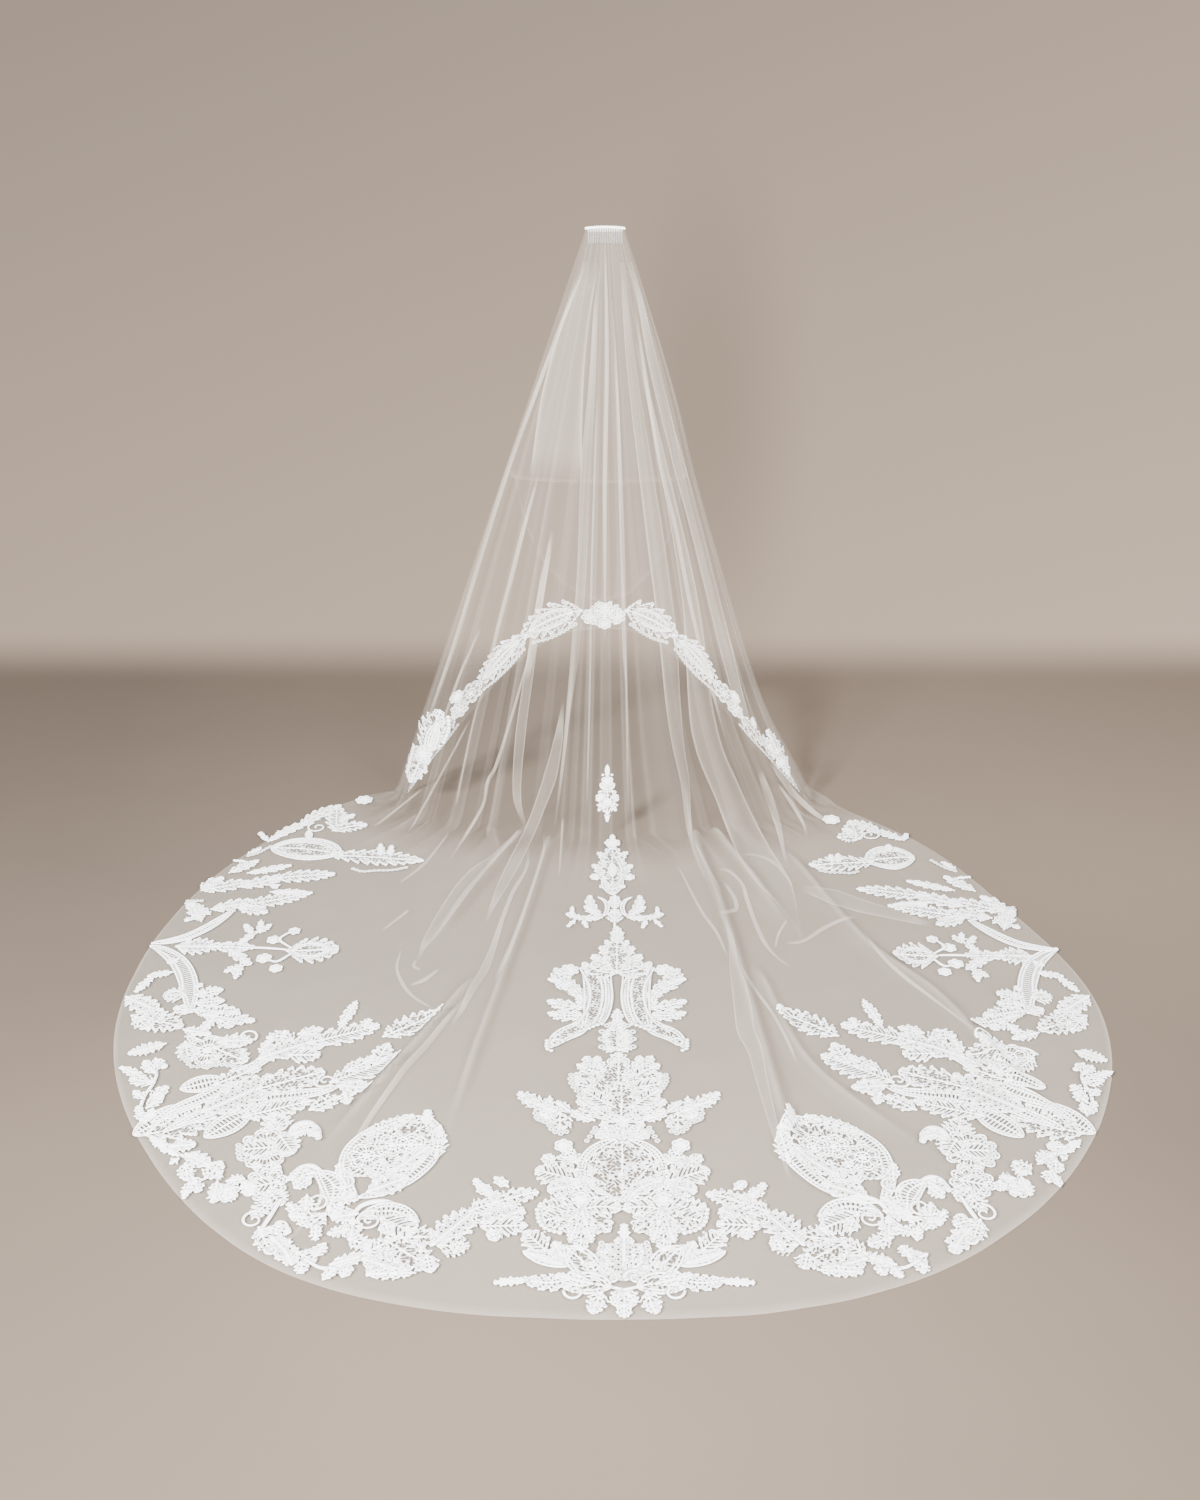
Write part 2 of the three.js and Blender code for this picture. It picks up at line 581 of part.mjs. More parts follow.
// The comb: a bowed bar with a row of teeth
function buildComb() {
  const half = COMB_WIDTH / 2;
  const under = [];
  const over = [];
  for (let k = 0; k <= BAR_STEPS; k += 1) {
    const x = -half + COMB_WIDTH * k / BAR_STEPS;
    under.push(new THREE.Vector2(x, barUnderside(x)));
    over.unshift(new THREE.Vector2(x, barUnderside(x) + BAR_HEIGHT));
  }
  const upright = new THREE.Matrix4().makeRotationX(Math.PI / 2);
  const bar = extrude([...under, ...over], BAR_DEPTH);
  bar.applyMatrix4(upright).translate(0, BAR_DEPTH / 2, 0);
  let comb = toSolid(bar);
  for (let k = 0; k < TOOTH_COUNT; k += 1) {
    const pitch = (COMB_WIDTH - 2 * TOOTH_MARGIN) / (TOOTH_COUNT - 1);
    const x = (k - (TOOTH_COUNT - 1) / 2) * pitch;
    const low = barUnderside(x) - TOOTH_LENGTH;
    const tooth = extrude([
      new THREE.Vector2(x - TOOTH_WIDTH / 2, low + TOOTH_TIP),
      new THREE.Vector2(x, low),
      new THREE.Vector2(x + TOOTH_WIDTH / 2, low + TOOTH_TIP),
      new THREE.Vector2(x + TOOTH_WIDTH / 2, barUnderside(x) + TOOTH_SUNK),
      new THREE.Vector2(x - TOOTH_WIDTH / 2, barUnderside(x) + TOOTH_SUNK),
    ], TOOTH_DEPTH);
    tooth.applyMatrix4(upright).translate(0, TOOTH_DEPTH / 2, 0);
    comb = comb.add(toSolid(tooth));
  }
  addPiece('comb', fromSolid(comb), combLook);
}

// One lace leaf as a flat solid: scalloped sides along a bent middle line
function leafMiddle(leaf, share) {
  const root = new THREE.Vector2(...leaf.root);
  const tip = new THREE.Vector2(...leaf.tip);
  const along = tip.clone().sub(root);
  const across = new THREE.Vector2(-along.y, along.x);
  return root.addScaledVector(along, share).addScaledVector(across, leaf.bend * Math.sin(Math.PI * share));
}

function leafAcross(leaf) {
  const along = new THREE.Vector2(leaf.tip[0] - leaf.root[0], leaf.tip[1] - leaf.root[1]).normalize();
  return new THREE.Vector2(-along.y, along.x);
}

function leafSolid(leaf) {
  const stations = 2 * leaf.lobes;
  const across = leafAcross(leaf);
  const rightSide = [];
  const leftSide = [];
  for (let k = 1; k < stations; k += 1) {
    const share = k / stations;
    const scallop = k % 2 === 1 ? 1 : 1 - SCALLOP;
    const half = leaf.width / 2 * Math.pow(Math.sin(Math.PI * share), LEAF_FULLNESS) * scallop;
    const middle = leafMiddle(leaf, share);
    rightSide.push(middle.clone().addScaledVector(across, -half));
    leftSide.unshift(middle.clone().addScaledVector(across, half));
  }
  const outline = [leafMiddle(leaf, 0), ...rightSide, leafMiddle(leaf, 1), ...leftSide];
  return toSolid(extrude(outline, LACE));
}

function leafGaps(leaf) {
  const across = leafAcross(leaf);
  const along = new THREE.Vector2(across.y, -across.x);
  const length = new THREE.Vector2(...leaf.root).distanceTo(new THREE.Vector2(...leaf.tip));
  const holes = [];
  for (let k = 0; k < leaf.gaps; k += 1) {
    const share = 0.5 + GAP_SPACING * ((k + 0.5) / leaf.gaps - 0.5);
    const middle = leafMiddle(leaf, share);
    const halfLong = length * GAP_SPACING / leaf.gaps * GAP_LENGTH;
    const halfWide = leaf.width / 2 * GAP_WIDTH * Math.sin(Math.PI * share);
    const corners = [
      middle.clone().addScaledVector(along, -halfLong),
      middle.clone().addScaledVector(across, -halfWide),
      middle.clone().addScaledVector(along, halfLong),
      middle.clone().addScaledVector(across, halfWide),
    ];
    const hole = extrude(corners, 3 * LACE);
    hole.translate(0, 0, -LACE);
    holes.push(toSolid(hole));
  }
  return holes;
}

function laceSolid(leaves) {
  let lace = leaves.map(leafSolid).reduce((whole, leaf) => whole.add(leaf));
  for (const hole of leaves.flatMap(leafGaps)) {
    lace = lace.subtract(hole);
  }
  return lace;
}

function buildFloorLace() {
  for (const [name, leaves] of Object.entries(LACE_LEAVES)) {
    const mesh = addPiece(name, fromSolid(laceSolid(leaves)), laceLook);
    mesh.position.z = FLOOR_Z + TULLE + GAP;
  }
}

function buildFinial() {
  const leaf = {
    root: [0, 0],
    tip: [0, FINIAL.length],
    width: FINIAL.width,
    bend: 0,
    lobes: FINIAL.lobes,
    gaps: FINIAL.gaps,
  };
  const mesh = addPiece('finial', fromSolid(laceSolid([leaf])), laceLook);
  const left = headingPoint(-FRONT_PANEL, HEADING);
  const right = headingPoint(FRONT_PANEL, HEADING);
  const foot = footPoint(FRONT_PANEL);
  foot.x = 0;
  const top = left.lerp(right, 0.5);
  const up = top.clone().sub(foot).normalize();
  const across = new THREE.Vector3(1, 0, 0);
  const out = across.clone().cross(up).normalize();
  const place = foot.clone().addScaledVector(up, FINIAL.aboveFloor);
  place.addScaledVector(out, TULLE / 2 + GAP).addScaledVector(across, FINIAL.side);
  mesh.quaternion.setFromRotationMatrix(new THREE.Matrix4().makeBasis(across, up, out));
  mesh.position.copy(place);
}

buildComb();
buildTulle();
buildInnerTulle();
buildHemLace();
buildFinial();
buildFloorLace();

export default veil;
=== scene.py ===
import json
import math
from collections import namedtuple

import bpy
import numpy as np
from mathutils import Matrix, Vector
from mathutils.bvhtree import BVHTree

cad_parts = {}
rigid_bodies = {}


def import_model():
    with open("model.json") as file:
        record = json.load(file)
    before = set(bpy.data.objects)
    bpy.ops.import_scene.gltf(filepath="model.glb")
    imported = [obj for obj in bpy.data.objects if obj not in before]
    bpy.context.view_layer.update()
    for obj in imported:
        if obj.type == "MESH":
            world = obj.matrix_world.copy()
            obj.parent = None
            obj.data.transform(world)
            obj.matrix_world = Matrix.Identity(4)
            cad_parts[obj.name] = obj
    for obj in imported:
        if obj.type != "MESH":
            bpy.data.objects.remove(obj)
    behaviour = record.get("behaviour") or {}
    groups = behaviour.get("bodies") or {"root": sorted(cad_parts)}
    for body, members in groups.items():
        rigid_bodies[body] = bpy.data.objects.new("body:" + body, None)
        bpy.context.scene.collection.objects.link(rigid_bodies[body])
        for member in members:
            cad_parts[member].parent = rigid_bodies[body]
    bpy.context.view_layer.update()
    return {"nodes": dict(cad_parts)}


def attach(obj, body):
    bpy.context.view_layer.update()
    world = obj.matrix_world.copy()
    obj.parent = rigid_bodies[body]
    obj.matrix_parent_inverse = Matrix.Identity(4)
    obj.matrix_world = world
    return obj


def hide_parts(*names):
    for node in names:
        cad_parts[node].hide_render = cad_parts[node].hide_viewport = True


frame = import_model()

# The cloth's driving sizes, in metres, as in the part's source
COMB_HEIGHT = 1.6
COMB_WIDTH = 0.095
BAR_BOW = 0.003
TRAIN_REACH = 1.825
CONE_HALF_WIDTH = 0.6
CONE_FRONT = 0.1
CONE_BACK = 0.27
CONE_MIDDLE = -0.12
ARCH_HEIGHT = 0.51
ARCH_SQUARENESS = 2.8
INNER_DROP = 0.61
INNER_TAIL = 0.38
INNER_TAIL_FROM = math.radians(100)
INNER_SPREAD = 0.25
FILLET = 0.03
TULLE = 0.001
GAP = 0.0003
FLOOR_Z = -COMB_HEIGHT
FLOOR_EDGE = math.radians(106)
FRONT_PANEL = math.radians(8)
LEAST_RUN = 1e-6
FLOOR_PLEATS = 16
AIR_PLEATS = 7

# The camera, from the photograph's perspective
CAMERA_PLACE = (-0.012, -3.7466, 0.4376)
CAMERA_PITCH = math.radians(25.85)
LENS_PIXELS = 1500
PHOTO_HEIGHT = 1500
PHOTO_CENTRE = (600, 750)
SENSOR = 36

# Where the floor turns up into the background, behind the veil, and how soft that turn is
FLOOR_FAR = 1.24
# The middle of the pool of light that is painted on the floor
PAINTED_LIGHT_POOL_MIDDLE = (0, -1.8, FLOOR_Z)
SEAM = 0.5

Heading = namedtuple("Heading", "across deep")
HEADING = Heading(0.046, 0.0034)
INNER_HEADING = Heading(0.043, 0.0018)
INNER_SCALE = Heading(0.94, 0.86)
HEADING_FLATNESS = 0.5

# The train's outline: angle from its middle line in degrees, and reach as a share of TRAIN_REACH
Outline = namedtuple("Outline", "angle reach")
OUTLINE = [
    Outline(-107, 0.352), Outline(-98, 0.412), Outline(-90, 0.462), Outline(-76, 0.567),
    Outline(-59, 0.713), Outline(-47, 0.820), Outline(-34, 0.912), Outline(-21, 0.986),
    Outline(0, 1.000), Outline(20, 0.994), Outline(35, 0.926), Outline(51, 0.800),
    Outline(66, 0.612), Outline(80, 0.492), Outline(93, 0.392), Outline(107, 0.338),
]

# Folds that run out over the floor: a path on the floor plan, its height and its half-width in metres
Ridge = namedtuple("Ridge", "path height width")
RIDGES = [
    Ridge([(-0.215, -0.02), (-0.235, -0.12), (-0.36, -0.45), (-0.45, -0.72)], 0.034, 0.020),
    Ridge([(-0.150, -0.10), (-0.20, -0.50), (-0.275, -1.00), (-0.335, -1.40)], 0.020, 0.016),
    Ridge([(-0.310, -0.80), (-0.42, -1.06), (-0.60, -1.45)], 0.026, 0.018),
    Ridge([(0.240, -0.05), (0.262, -0.25), (0.295, -0.47), (0.345, -1.04), (0.385, -1.54)], 0.028, 0.022),
    Ridge([(0.300, -0.08), (0.39, -0.36), (0.485, -0.62)], 0.040, 0.026),
    Ridge([(0.365, -0.76), (0.45, -1.13), (0.68, -1.43)], 0.016, 0.018),
    Ridge([(0.500, -0.20), (0.64, -0.63), (0.78, -0.87), (0.88, -1.18), (0.97, -1.38)], 0.016, 0.020),
]
RIDGE_TAPER = 0.16
RIDGE_LEAD = 0.5
RIDGE_START = 0.05
CREST_SHARE = 0.35

# Low ripples of the cloth on the floor: height in metres, and how fast they run across and out
Ripple = namedtuple("Ripple", "height across out seed")
RIPPLES = [Ripple(0.0012, 9, 4, 0.4), Ripple(0.0008, -7, 13, 2.0)]

# The cloth draws in on the right: how far down it is, and the share of its width that it loses there
Waist = namedtuple("Waist", "down share")
WAIST = [
    Waist(0.0, 0.0), Waist(0.26, 0.06), Waist(0.38, 0.11), Waist(0.52, 0.12),
    Waist(0.68, 0.12), Waist(0.81, 0.10), Waist(0.93, 0.035), Waist(1.0, 0.0),
]
WAIST_FROM = 0.12

# How many columns and rows of points the cloth has. The columns are closer together in front.
COLUMNS = 700
FRONT_ANGLE = math.radians(52)
FRONT_CLOSENESS = 2.6
FRONT_SOFTNESS = 1.5
HANGING_ROWS = 62
HANGING_CLOSENESS = 1.25
FLOOR_ROWS = 76
LEAST_FLOOR_RUN = 0.12
ANGLE_STEPS = 3601

# The share of what is behind it that one layer of tulle hides
LAYER_COVER = 0.02

# How many more layers it seems to have: where it is gathered at the comb, along the crests of folds,
# along its cut edge, and on the floor, where it is seen at a slant and its own shadow lies under it
GATHERED = 0.03
MOST_GATHERED = 0.3
LEAST_SHARE = 0.02
CREST_LAYERS = 7
EDGE_LAYERS = 6
EDGE_WIDTH = 0.006
FLOOR_LAYERS = 7.0
FLOOR_FADE = 0.2
HANGING_FADE = 0.35

# Folded bands of cloth that hang from the comb: angle and half-width in degrees, and how many more
# layers they add
Streak = namedtuple("Streak", "angle half layers")
STREAK_SHARE = 1.2
STREAK_BAND = 0.55
STREAK_BAND_HALF = 0.8
STREAK_BAND_FADE = 0.5
STREAK_LINE = 0.45
STREAKS = [
    Streak(-74, 3.0, 1.6), Streak(-60, 1.2, 2.4), Streak(-57, 4.0, 1.4), Streak(-45, 1.6, 2.6),
    Streak(-38, 1.0, 1.2), Streak(-28, 2.6, 2.2), Streak(-19, 0.8, 1.2), Streak(-11, 2.6, 2.0),
    Streak(-5, 1.0, 3.0), Streak(0.4, 1.4, 2.4), Streak(7, 0.9, 2.8), Streak(21, 4.2, 2.6),
    Streak(29, 0.8, 1.4), Streak(38, 1.3, 3.0), Streak(50, 3.6, 3.0), Streak(58, 2.4, 2.2),
    Streak(68, 2.0, 2.6), Streak(80, 3.0, 1.8), Streak(97, 1.4, 1.6), Streak(118, 2.4, 1.8),
    Streak(134, 1.2, 2.2), Streak(149, 3.0, 1.6), Streak(163, 1.2, 2.2), Streak(174, 2.2, 1.8),
    Streak(-97, 2.0, 1.4), Streak(-116, 1.2, 2.2), Streak(-131, 3.0, 1.6), Streak(-147, 1.2, 2.0),
    Streak(-160, 2.4, 1.8), Streak(-172, 1.0, 2.4),
]


def smooth_step(value):
    t = np.clip(value, 0, 1)
    return t * t * (3 - 2 * t)


def table_value(rows, at):
    """A smooth curve through the rows of a two-column table."""
    keys = np.array([row[0] for row in rows], float)
    values = np.array([row[1] for row in rows], float)
    slopes = np.gradient(values, keys)
    k = np.clip(np.searchsorted(keys, at) - 1, 0, len(keys) - 2)
    span = keys[k + 1] - keys[k]
    t = np.clip((at - keys[k]) / span, 0, 1)
    t2 = t * t
    t3 = t2 * t
    start = values[k] * (2 * t3 - 3 * t2 + 1) + slopes[k] * span * (t3 - 2 * t2 + t)
    return start + values[k + 1] * (3 * t2 - 2 * t3) + slopes[k + 1] * span * (t3 - t2)


def in_the_air(angle):
    """Whether a column ends on the arched hem, and not on the floor."""
    return np.abs(angle) > FLOOR_EDGE


def cone_depth(turn):
    """From the cone's middle to its front or back, for the cosine of an angle."""
    return np.where(turn > 0, CONE_FRONT - CONE_MIDDLE, CONE_BACK + CONE_MIDDLE)


def heading_point(angle, heading):
    x = heading.across * np.sin(angle)
    turn = np.cos(angle)
    y = -heading.deep * np.sign(turn) * np.abs(turn) ** HEADING_FLATNESS
    return np.stack([x, y, -BAR_BOW * (x / (COMB_WIDTH / 2)) ** 2 - GAP], -1)


def foot_point(angle):
    turn = np.cos(angle)
    forward = CONE_MIDDLE + cone_depth(turn) * turn
    x = CONE_HALF_WIDTH * np.sin(angle)
    return np.stack([x, -forward, np.full_like(x, FLOOR_Z + TULLE / 2)], -1)


def hem_point(angle):
    """Where a column ends: on the floor outline, or in the air on the arched hem."""
    reach = TRAIN_REACH * table_value(OUTLINE, np.degrees(angle))
    lying = np.stack([
        reach * np.sin(angle),
        -reach * np.cos(angle),
        np.full_like(angle, FLOOR_Z + TULLE / 2),
    ], -1)
    across = np.abs(np.sin(angle)) / math.sin(FLOOR_EDGE)
    height = ARCH_HEIGHT * (1 - across ** ARCH_SQUARENESS)
    share = (1 - height / COMB_HEIGHT)[..., None]
    top = heading_point(angle, HEADING)
    hanging = top + (foot_point(angle) - top) * share
    return np.where(in_the_air(angle)[..., None], hanging, lying)


def column_lengths(angle):
    """Each column's length down to the floor, and its whole length."""
    top = heading_point(angle, HEADING)
    foot = foot_point(angle)
    hem = hem_point(angle)
    in_air = in_the_air(angle)
    hanging = np.linalg.norm(foot - top, axis=-1)
    whole = hanging + np.linalg.norm(hem - foot, axis=-1)
    air = np.linalg.norm(hem - top, axis=-1)
    return np.where(in_air, air, hanging), np.where(in_air, air, whole)


def straight_path(angle, along):
    top = heading_point(angle, HEADING)
    foot = foot_point(angle)
    hem = hem_point(angle)
    hanging, whole = column_lengths(angle)
    in_air = in_the_air(angle)
    low = np.where(in_air[..., None], hem, foot)
    down = top + (low - top) * (along / hanging)[..., None]
    past = (along - hanging) / np.maximum(whole - hanging, LEAST_RUN)
    out = foot + (hem - foot) * past[..., None]
    return np.where((in_air | (along <= hanging))[..., None], down, out)


def base_point(angle, along):
    """The smooth cloth before pleating, rounded where it meets the floor."""
    hanging, whole = column_lengths(angle)
    radius = np.clip(np.minimum(FILLET, whole - hanging), LEAST_RUN, None)
    t = np.clip((along - hanging + radius) / (2 * radius), 0, 1)[..., None]
    start = straight_path(angle, hanging - radius)
    corner = straight_path(angle, hanging)
    end = straight_path(angle, hanging + radius)
    first = start + (corner - start) * t
    second = corner + (end - corner) * t
    bent = first + (second - first) * t
    near = (np.abs(along - hanging) < radius) & ~in_the_air(angle)
    return np.where(near[..., None], bent, straight_path(angle, along))


def outward(angle, along):
    """Out of the cone while the cloth hangs, and up once it lies on the floor."""
    turn = np.cos(angle)
    side = np.stack([np.sin(angle) / CONE_HALF_WIDTH, -turn / cone_depth(turn), np.zeros_like(turn)], -1)
    side = side / np.linalg.norm(side, axis=-1, keepdims=True)
    hanging, _ = column_lengths(angle)
    lying = smooth_step((along - hanging + FILLET) / (2 * FILLET))
    lying = np.where(in_the_air(angle), 0, lying)[..., None]
    way = side * (1 - lying) + np.array([0, 0, 1.0]) * lying
    return way / np.linalg.norm(way, axis=-1, keepdims=True)


def pleat_rank(angle):
    """The place of a column among the pleats: whole odd numbers are crests."""
    size = np.abs(angle)
    floor_step = (FLOOR_EDGE - FRONT_PANEL) / FLOOR_PLEATS
    air_step = (math.pi - FLOOR_EDGE) / AIR_PLEATS
    on_floor = np.clip(size - FRONT_PANEL, 0, None) / floor_step
    in_air = FLOOR_PLEATS + (size - FLOOR_EDGE) / air_step
    return np.where(size > FLOOR_EDGE, in_air, on_floor)


# The waves that add up to an uneven one: how fast each runs, and how much the seed shifts it
WAVES = [(1.7, 1), (2.9, 2.3), (4.3, 0.7)]


def wave(value, seed):
    """A smooth uneven number from -1 to 1."""
    return sum(np.sin(value * rate + seed * shift) for rate, shift in WAVES) / len(WAVES)


# The pleats: how deep, how uneven and how sharp they are, the finer ones between them, how far they
# run on over the floor, how they die out in the stiffened cloth above the arched hem, and how far
# they lean
PLEAT_DEPTH = 0.026
PLEAT_LEVEL = 0.72
PLEAT_UNEVEN = 0.28
PLEAT_SHARPNESS = 1.4
FINE_PLEAT = 0.16
PLEAT_RUN_ON = 0.11
HEM_STIFF = 0.42
STIFF_SHARE = 0.95
PLEAT_LEAN = 1.25
UNEVEN_SEED = 1.3
FINE_SEED = 4.1
LEAN_SEED = 2.2


def pleat_height(angle, along):
    """How far the pleats stand out, and how far they lean round the cone."""
    rank = pleat_rank(angle)
    crest = (1 - np.cos(math.pi * rank)) / 2
    signed = rank * np.sign(angle)
    uneven = PLEAT_LEVEL + PLEAT_UNEVEN * wave(signed, UNEVEN_SEED)
    fine = FINE_PLEAT * np.sin(3 * math.pi * rank + 2 * wave(signed, FINE_SEED)) * smooth_step(rank)
    share = along / COMB_HEIGHT
    hanging, _ = column_lengths(angle)
    in_air = in_the_air(angle)
    past = np.where(in_air, 0, along - hanging)
    fade = 1 - smooth_step(past / PLEAT_RUN_ON)
    stiff = smooth_step((along - hanging + HEM_STIFF) / HEM_STIFF) * in_air
    fade = fade * (1 - STIFF_SHARE * stiff)
    height = PLEAT_DEPTH * (uneven * crest ** PLEAT_SHARPNESS + fine) * share * fade
    step = (FLOOR_EDGE - FRONT_PANEL) / FLOOR_PLEATS
    lean = step * PLEAT_LEAN * wave(np.round((signed + 1) / 2) * 2, LEAN_SEED) * crest * fade
    return height, lean


# A stretch of a path that is shorter than this is passed over
SHORTEST = 1e-9


def path_coordinates(x, y, path):
    """How far along a path the nearest place is, how far to its left, and the path's length."""
    best = np.full(x.shape, np.inf)
    place = np.zeros(x.shape)
    side = np.zeros(x.shape)
    run = 0.0
    for (ax, ay), (bx, by) in zip(path[:-1], path[1:]):
        dx = bx - ax
        dy = by - ay
        length = math.hypot(dx, dy)
        if length < SHORTEST:
            continue
        t = np.clip(((x - ax) * dx + (y - ay) * dy) / length ** 2, 0, 1)
        away_x = x - ax - t * dx
        away_y = y - ay - t * dy
        gap = np.hypot(away_x, away_y)
        closer = gap < best
        best = np.where(closer, gap, best)
        place = np.where(closer, run + t * length, place)
        side = np.where(closer, gap * np.where(dx * away_y - dy * away_x < 0, -1, 1), side)
        run += length
    return place, side, run


def smooth_path(path, steps=8):
    """A smooth curve through the points of a path."""
    points = np.array(path, float)
    ends = np.vstack([2 * points[0] - points[1], points, 2 * points[-1] - points[-2]])
    curve = []
    for k in range(1, len(ends) - 2):
        a, b, c, d = ends[k - 1:k + 3]
        for t in np.linspace(0, 1, steps, endpoint=False):
            curve.append(0.5 * (2 * b + (c - a) * t + (2 * a - 5 * b + 4 * c - d) * t ** 2
                                + (3 * b - a - 3 * c + d) * t ** 3))
    curve.append(points[-1])
    return np.array(curve)


def path_runs(path):
    """How far along a path each of its points is."""
    return np.concatenate([[0], np.cumsum(np.hypot(*np.diff(path, axis=0).T))])


def ridge_lift(x, y):
    """Height of the floor folds, and how strongly a crest shows, at places on the floor plan."""
    lift = np.zeros(x.shape)
    crest = np.zeros(x.shape)
    for ridge in RIDGES:
        place, side, length = path_coordinates(x, y, smooth_path(ridge.path))
        gap = np.abs(side)
        taper = smooth_step(place / RIDGE_TAPER + RIDGE_LEAD)
        taper = taper * smooth_step((length - place) / (2 * RIDGE_TAPER))
        shape = np.exp(-(gap / ridge.width) ** 2)
        lift = np.maximum(lift, ridge.height * shape * taper)
        crest = np.maximum(crest, np.exp(-(gap / (CREST_SHARE * ridge.width)) ** 2) * taper)
    ripple = sum(r.height * (1 + wave(x * r.across + y * r.out, r.seed)) for r in RIPPLES)
    return lift + ripple, crest


def cloth_point(angle, along):
    """A place on the main tulle, and how strongly a fold's crest shows there."""
    height, lean = pleat_height(angle, along)
    point = base_point(angle + lean, along) + outward(angle, along) * height[..., None]
    hanging, _ = column_lengths(angle)
    past = np.where(in_the_air(angle), -1, along - hanging)
    lying = smooth_step(past / RIDGE_START)
    lift, crest = ridge_lift(point[..., 0], point[..., 1])
    point[..., 2] += lift * lying
    return draw_in(point), crest * lying


def draw_in(points):
    """Narrows the hanging cloth on its right."""
    down = np.clip(-points[..., 2] / COMB_HEIGHT, 0, 1)
    to_right = smooth_step(points[..., 0] / WAIST_FROM)
    points[..., 0] *= 1 - to_right * table_value(WAIST, down)
    return points


def make_mesh(name, points, faces, smooth=True):
    mesh = bpy.data.meshes.new(name)
    mesh.vertices.add(len(points))
    mesh.vertices.foreach_set("co", np.asarray(points, np.float32).ravel())
    faces = np.asarray(faces, np.int32)
    sides = faces.shape[1]
    mesh.loops.add(faces.size)
    mesh.loops.foreach_set("vertex_index", faces.ravel())
    mesh.polygons.add(len(faces))
    mesh.polygons.foreach_set("loop_start", np.arange(0, faces.size, sides, dtype=np.int32))
    mesh.polygons.foreach_set("use_smooth", np.full(len(faces), smooth))
    mesh.update(calc_edges=True)
    piece = bpy.data.objects.new(name, mesh)
    bpy.context.scene.collection.objects.link(piece)
    return piece


def dress(piece, material):
    piece.data.materials.append(material)
    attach(piece, "root")


def set_cover(piece, cover):
    """Stores on each point the share of what is behind it that it hides."""
    attribute = piece.data.attributes.new("cover", "FLOAT", "POINT")
    attribute.data.foreach_set("value", np.asarray(cover, np.float32).ravel())


def loop_faces(rows, columns):
    """Quads of a grid that runs round in a loop."""
    j, i = np.meshgrid(np.arange(rows - 1), np.arange(columns), indexing="ij")
    after = (i + 1) % columns
    return np.stack([j * columns + i, (j + 1) * columns + i, (j + 1) * columns + after,
                     j * columns + after], -1).reshape(-1, 4)


def layered(layers):
    """Cover of several layers of tulle, one behind the other."""
    return 1 - (1 - LAYER_COVER) ** layers


def column_angles():
    even = np.linspace(-math.pi, math.pi, ANGLE_STEPS)
    close = 1 + (FRONT_CLOSENESS - 1) * smooth_step(FRONT_SOFTNESS - np.abs(even) / FRONT_ANGLE)
    passed = np.concatenate([[0], np.cumsum(close[:-1])])
    return np.interp(np.linspace(0, passed[-1], COLUMNS, endpoint=False), passed, even)


def build_tulle():
    angles = column_angles()
    hanging, whole = column_lengths(angles)
    kink = np.minimum(hanging, whole - LEAST_FLOOR_RUN)
    down = (np.linspace(0, 1, HANGING_ROWS) ** HANGING_CLOSENESS)[:, None] * kink
    out = kink + (np.linspace(0, 1, FLOOR_ROWS + 1)[1:, None]) * (whole - kink)
    along = np.vstack([down, out])
    angle = np.broadcast_to(angles, along.shape)
    points, crest = cloth_point(angle, along)
    piece = make_mesh("veil_cloth", points.reshape(-1, 3), loop_faces(*along.shape))
    share = np.clip(along / COMB_HEIGHT, LEAST_SHARE, None)
    gathered = np.clip(GATHERED / share, 0, MOST_GATHERED)
    floor_fade = 1 - smooth_step((along - hanging) / HANGING_FADE)
    lying = smooth_step((along - hanging) / FLOOR_FADE) * ~in_the_air(angle)
    layers = 1 + gathered * floor_fade + streak_layers(angle) * floor_fade + CREST_LAYERS * crest
    layers = layers + FLOOR_LAYERS * lying
    edge = np.clip(1 - (whole - along) / EDGE_WIDTH, 0, 1)
    set_cover(piece, layered(layers + EDGE_LAYERS * edge))
    return piece
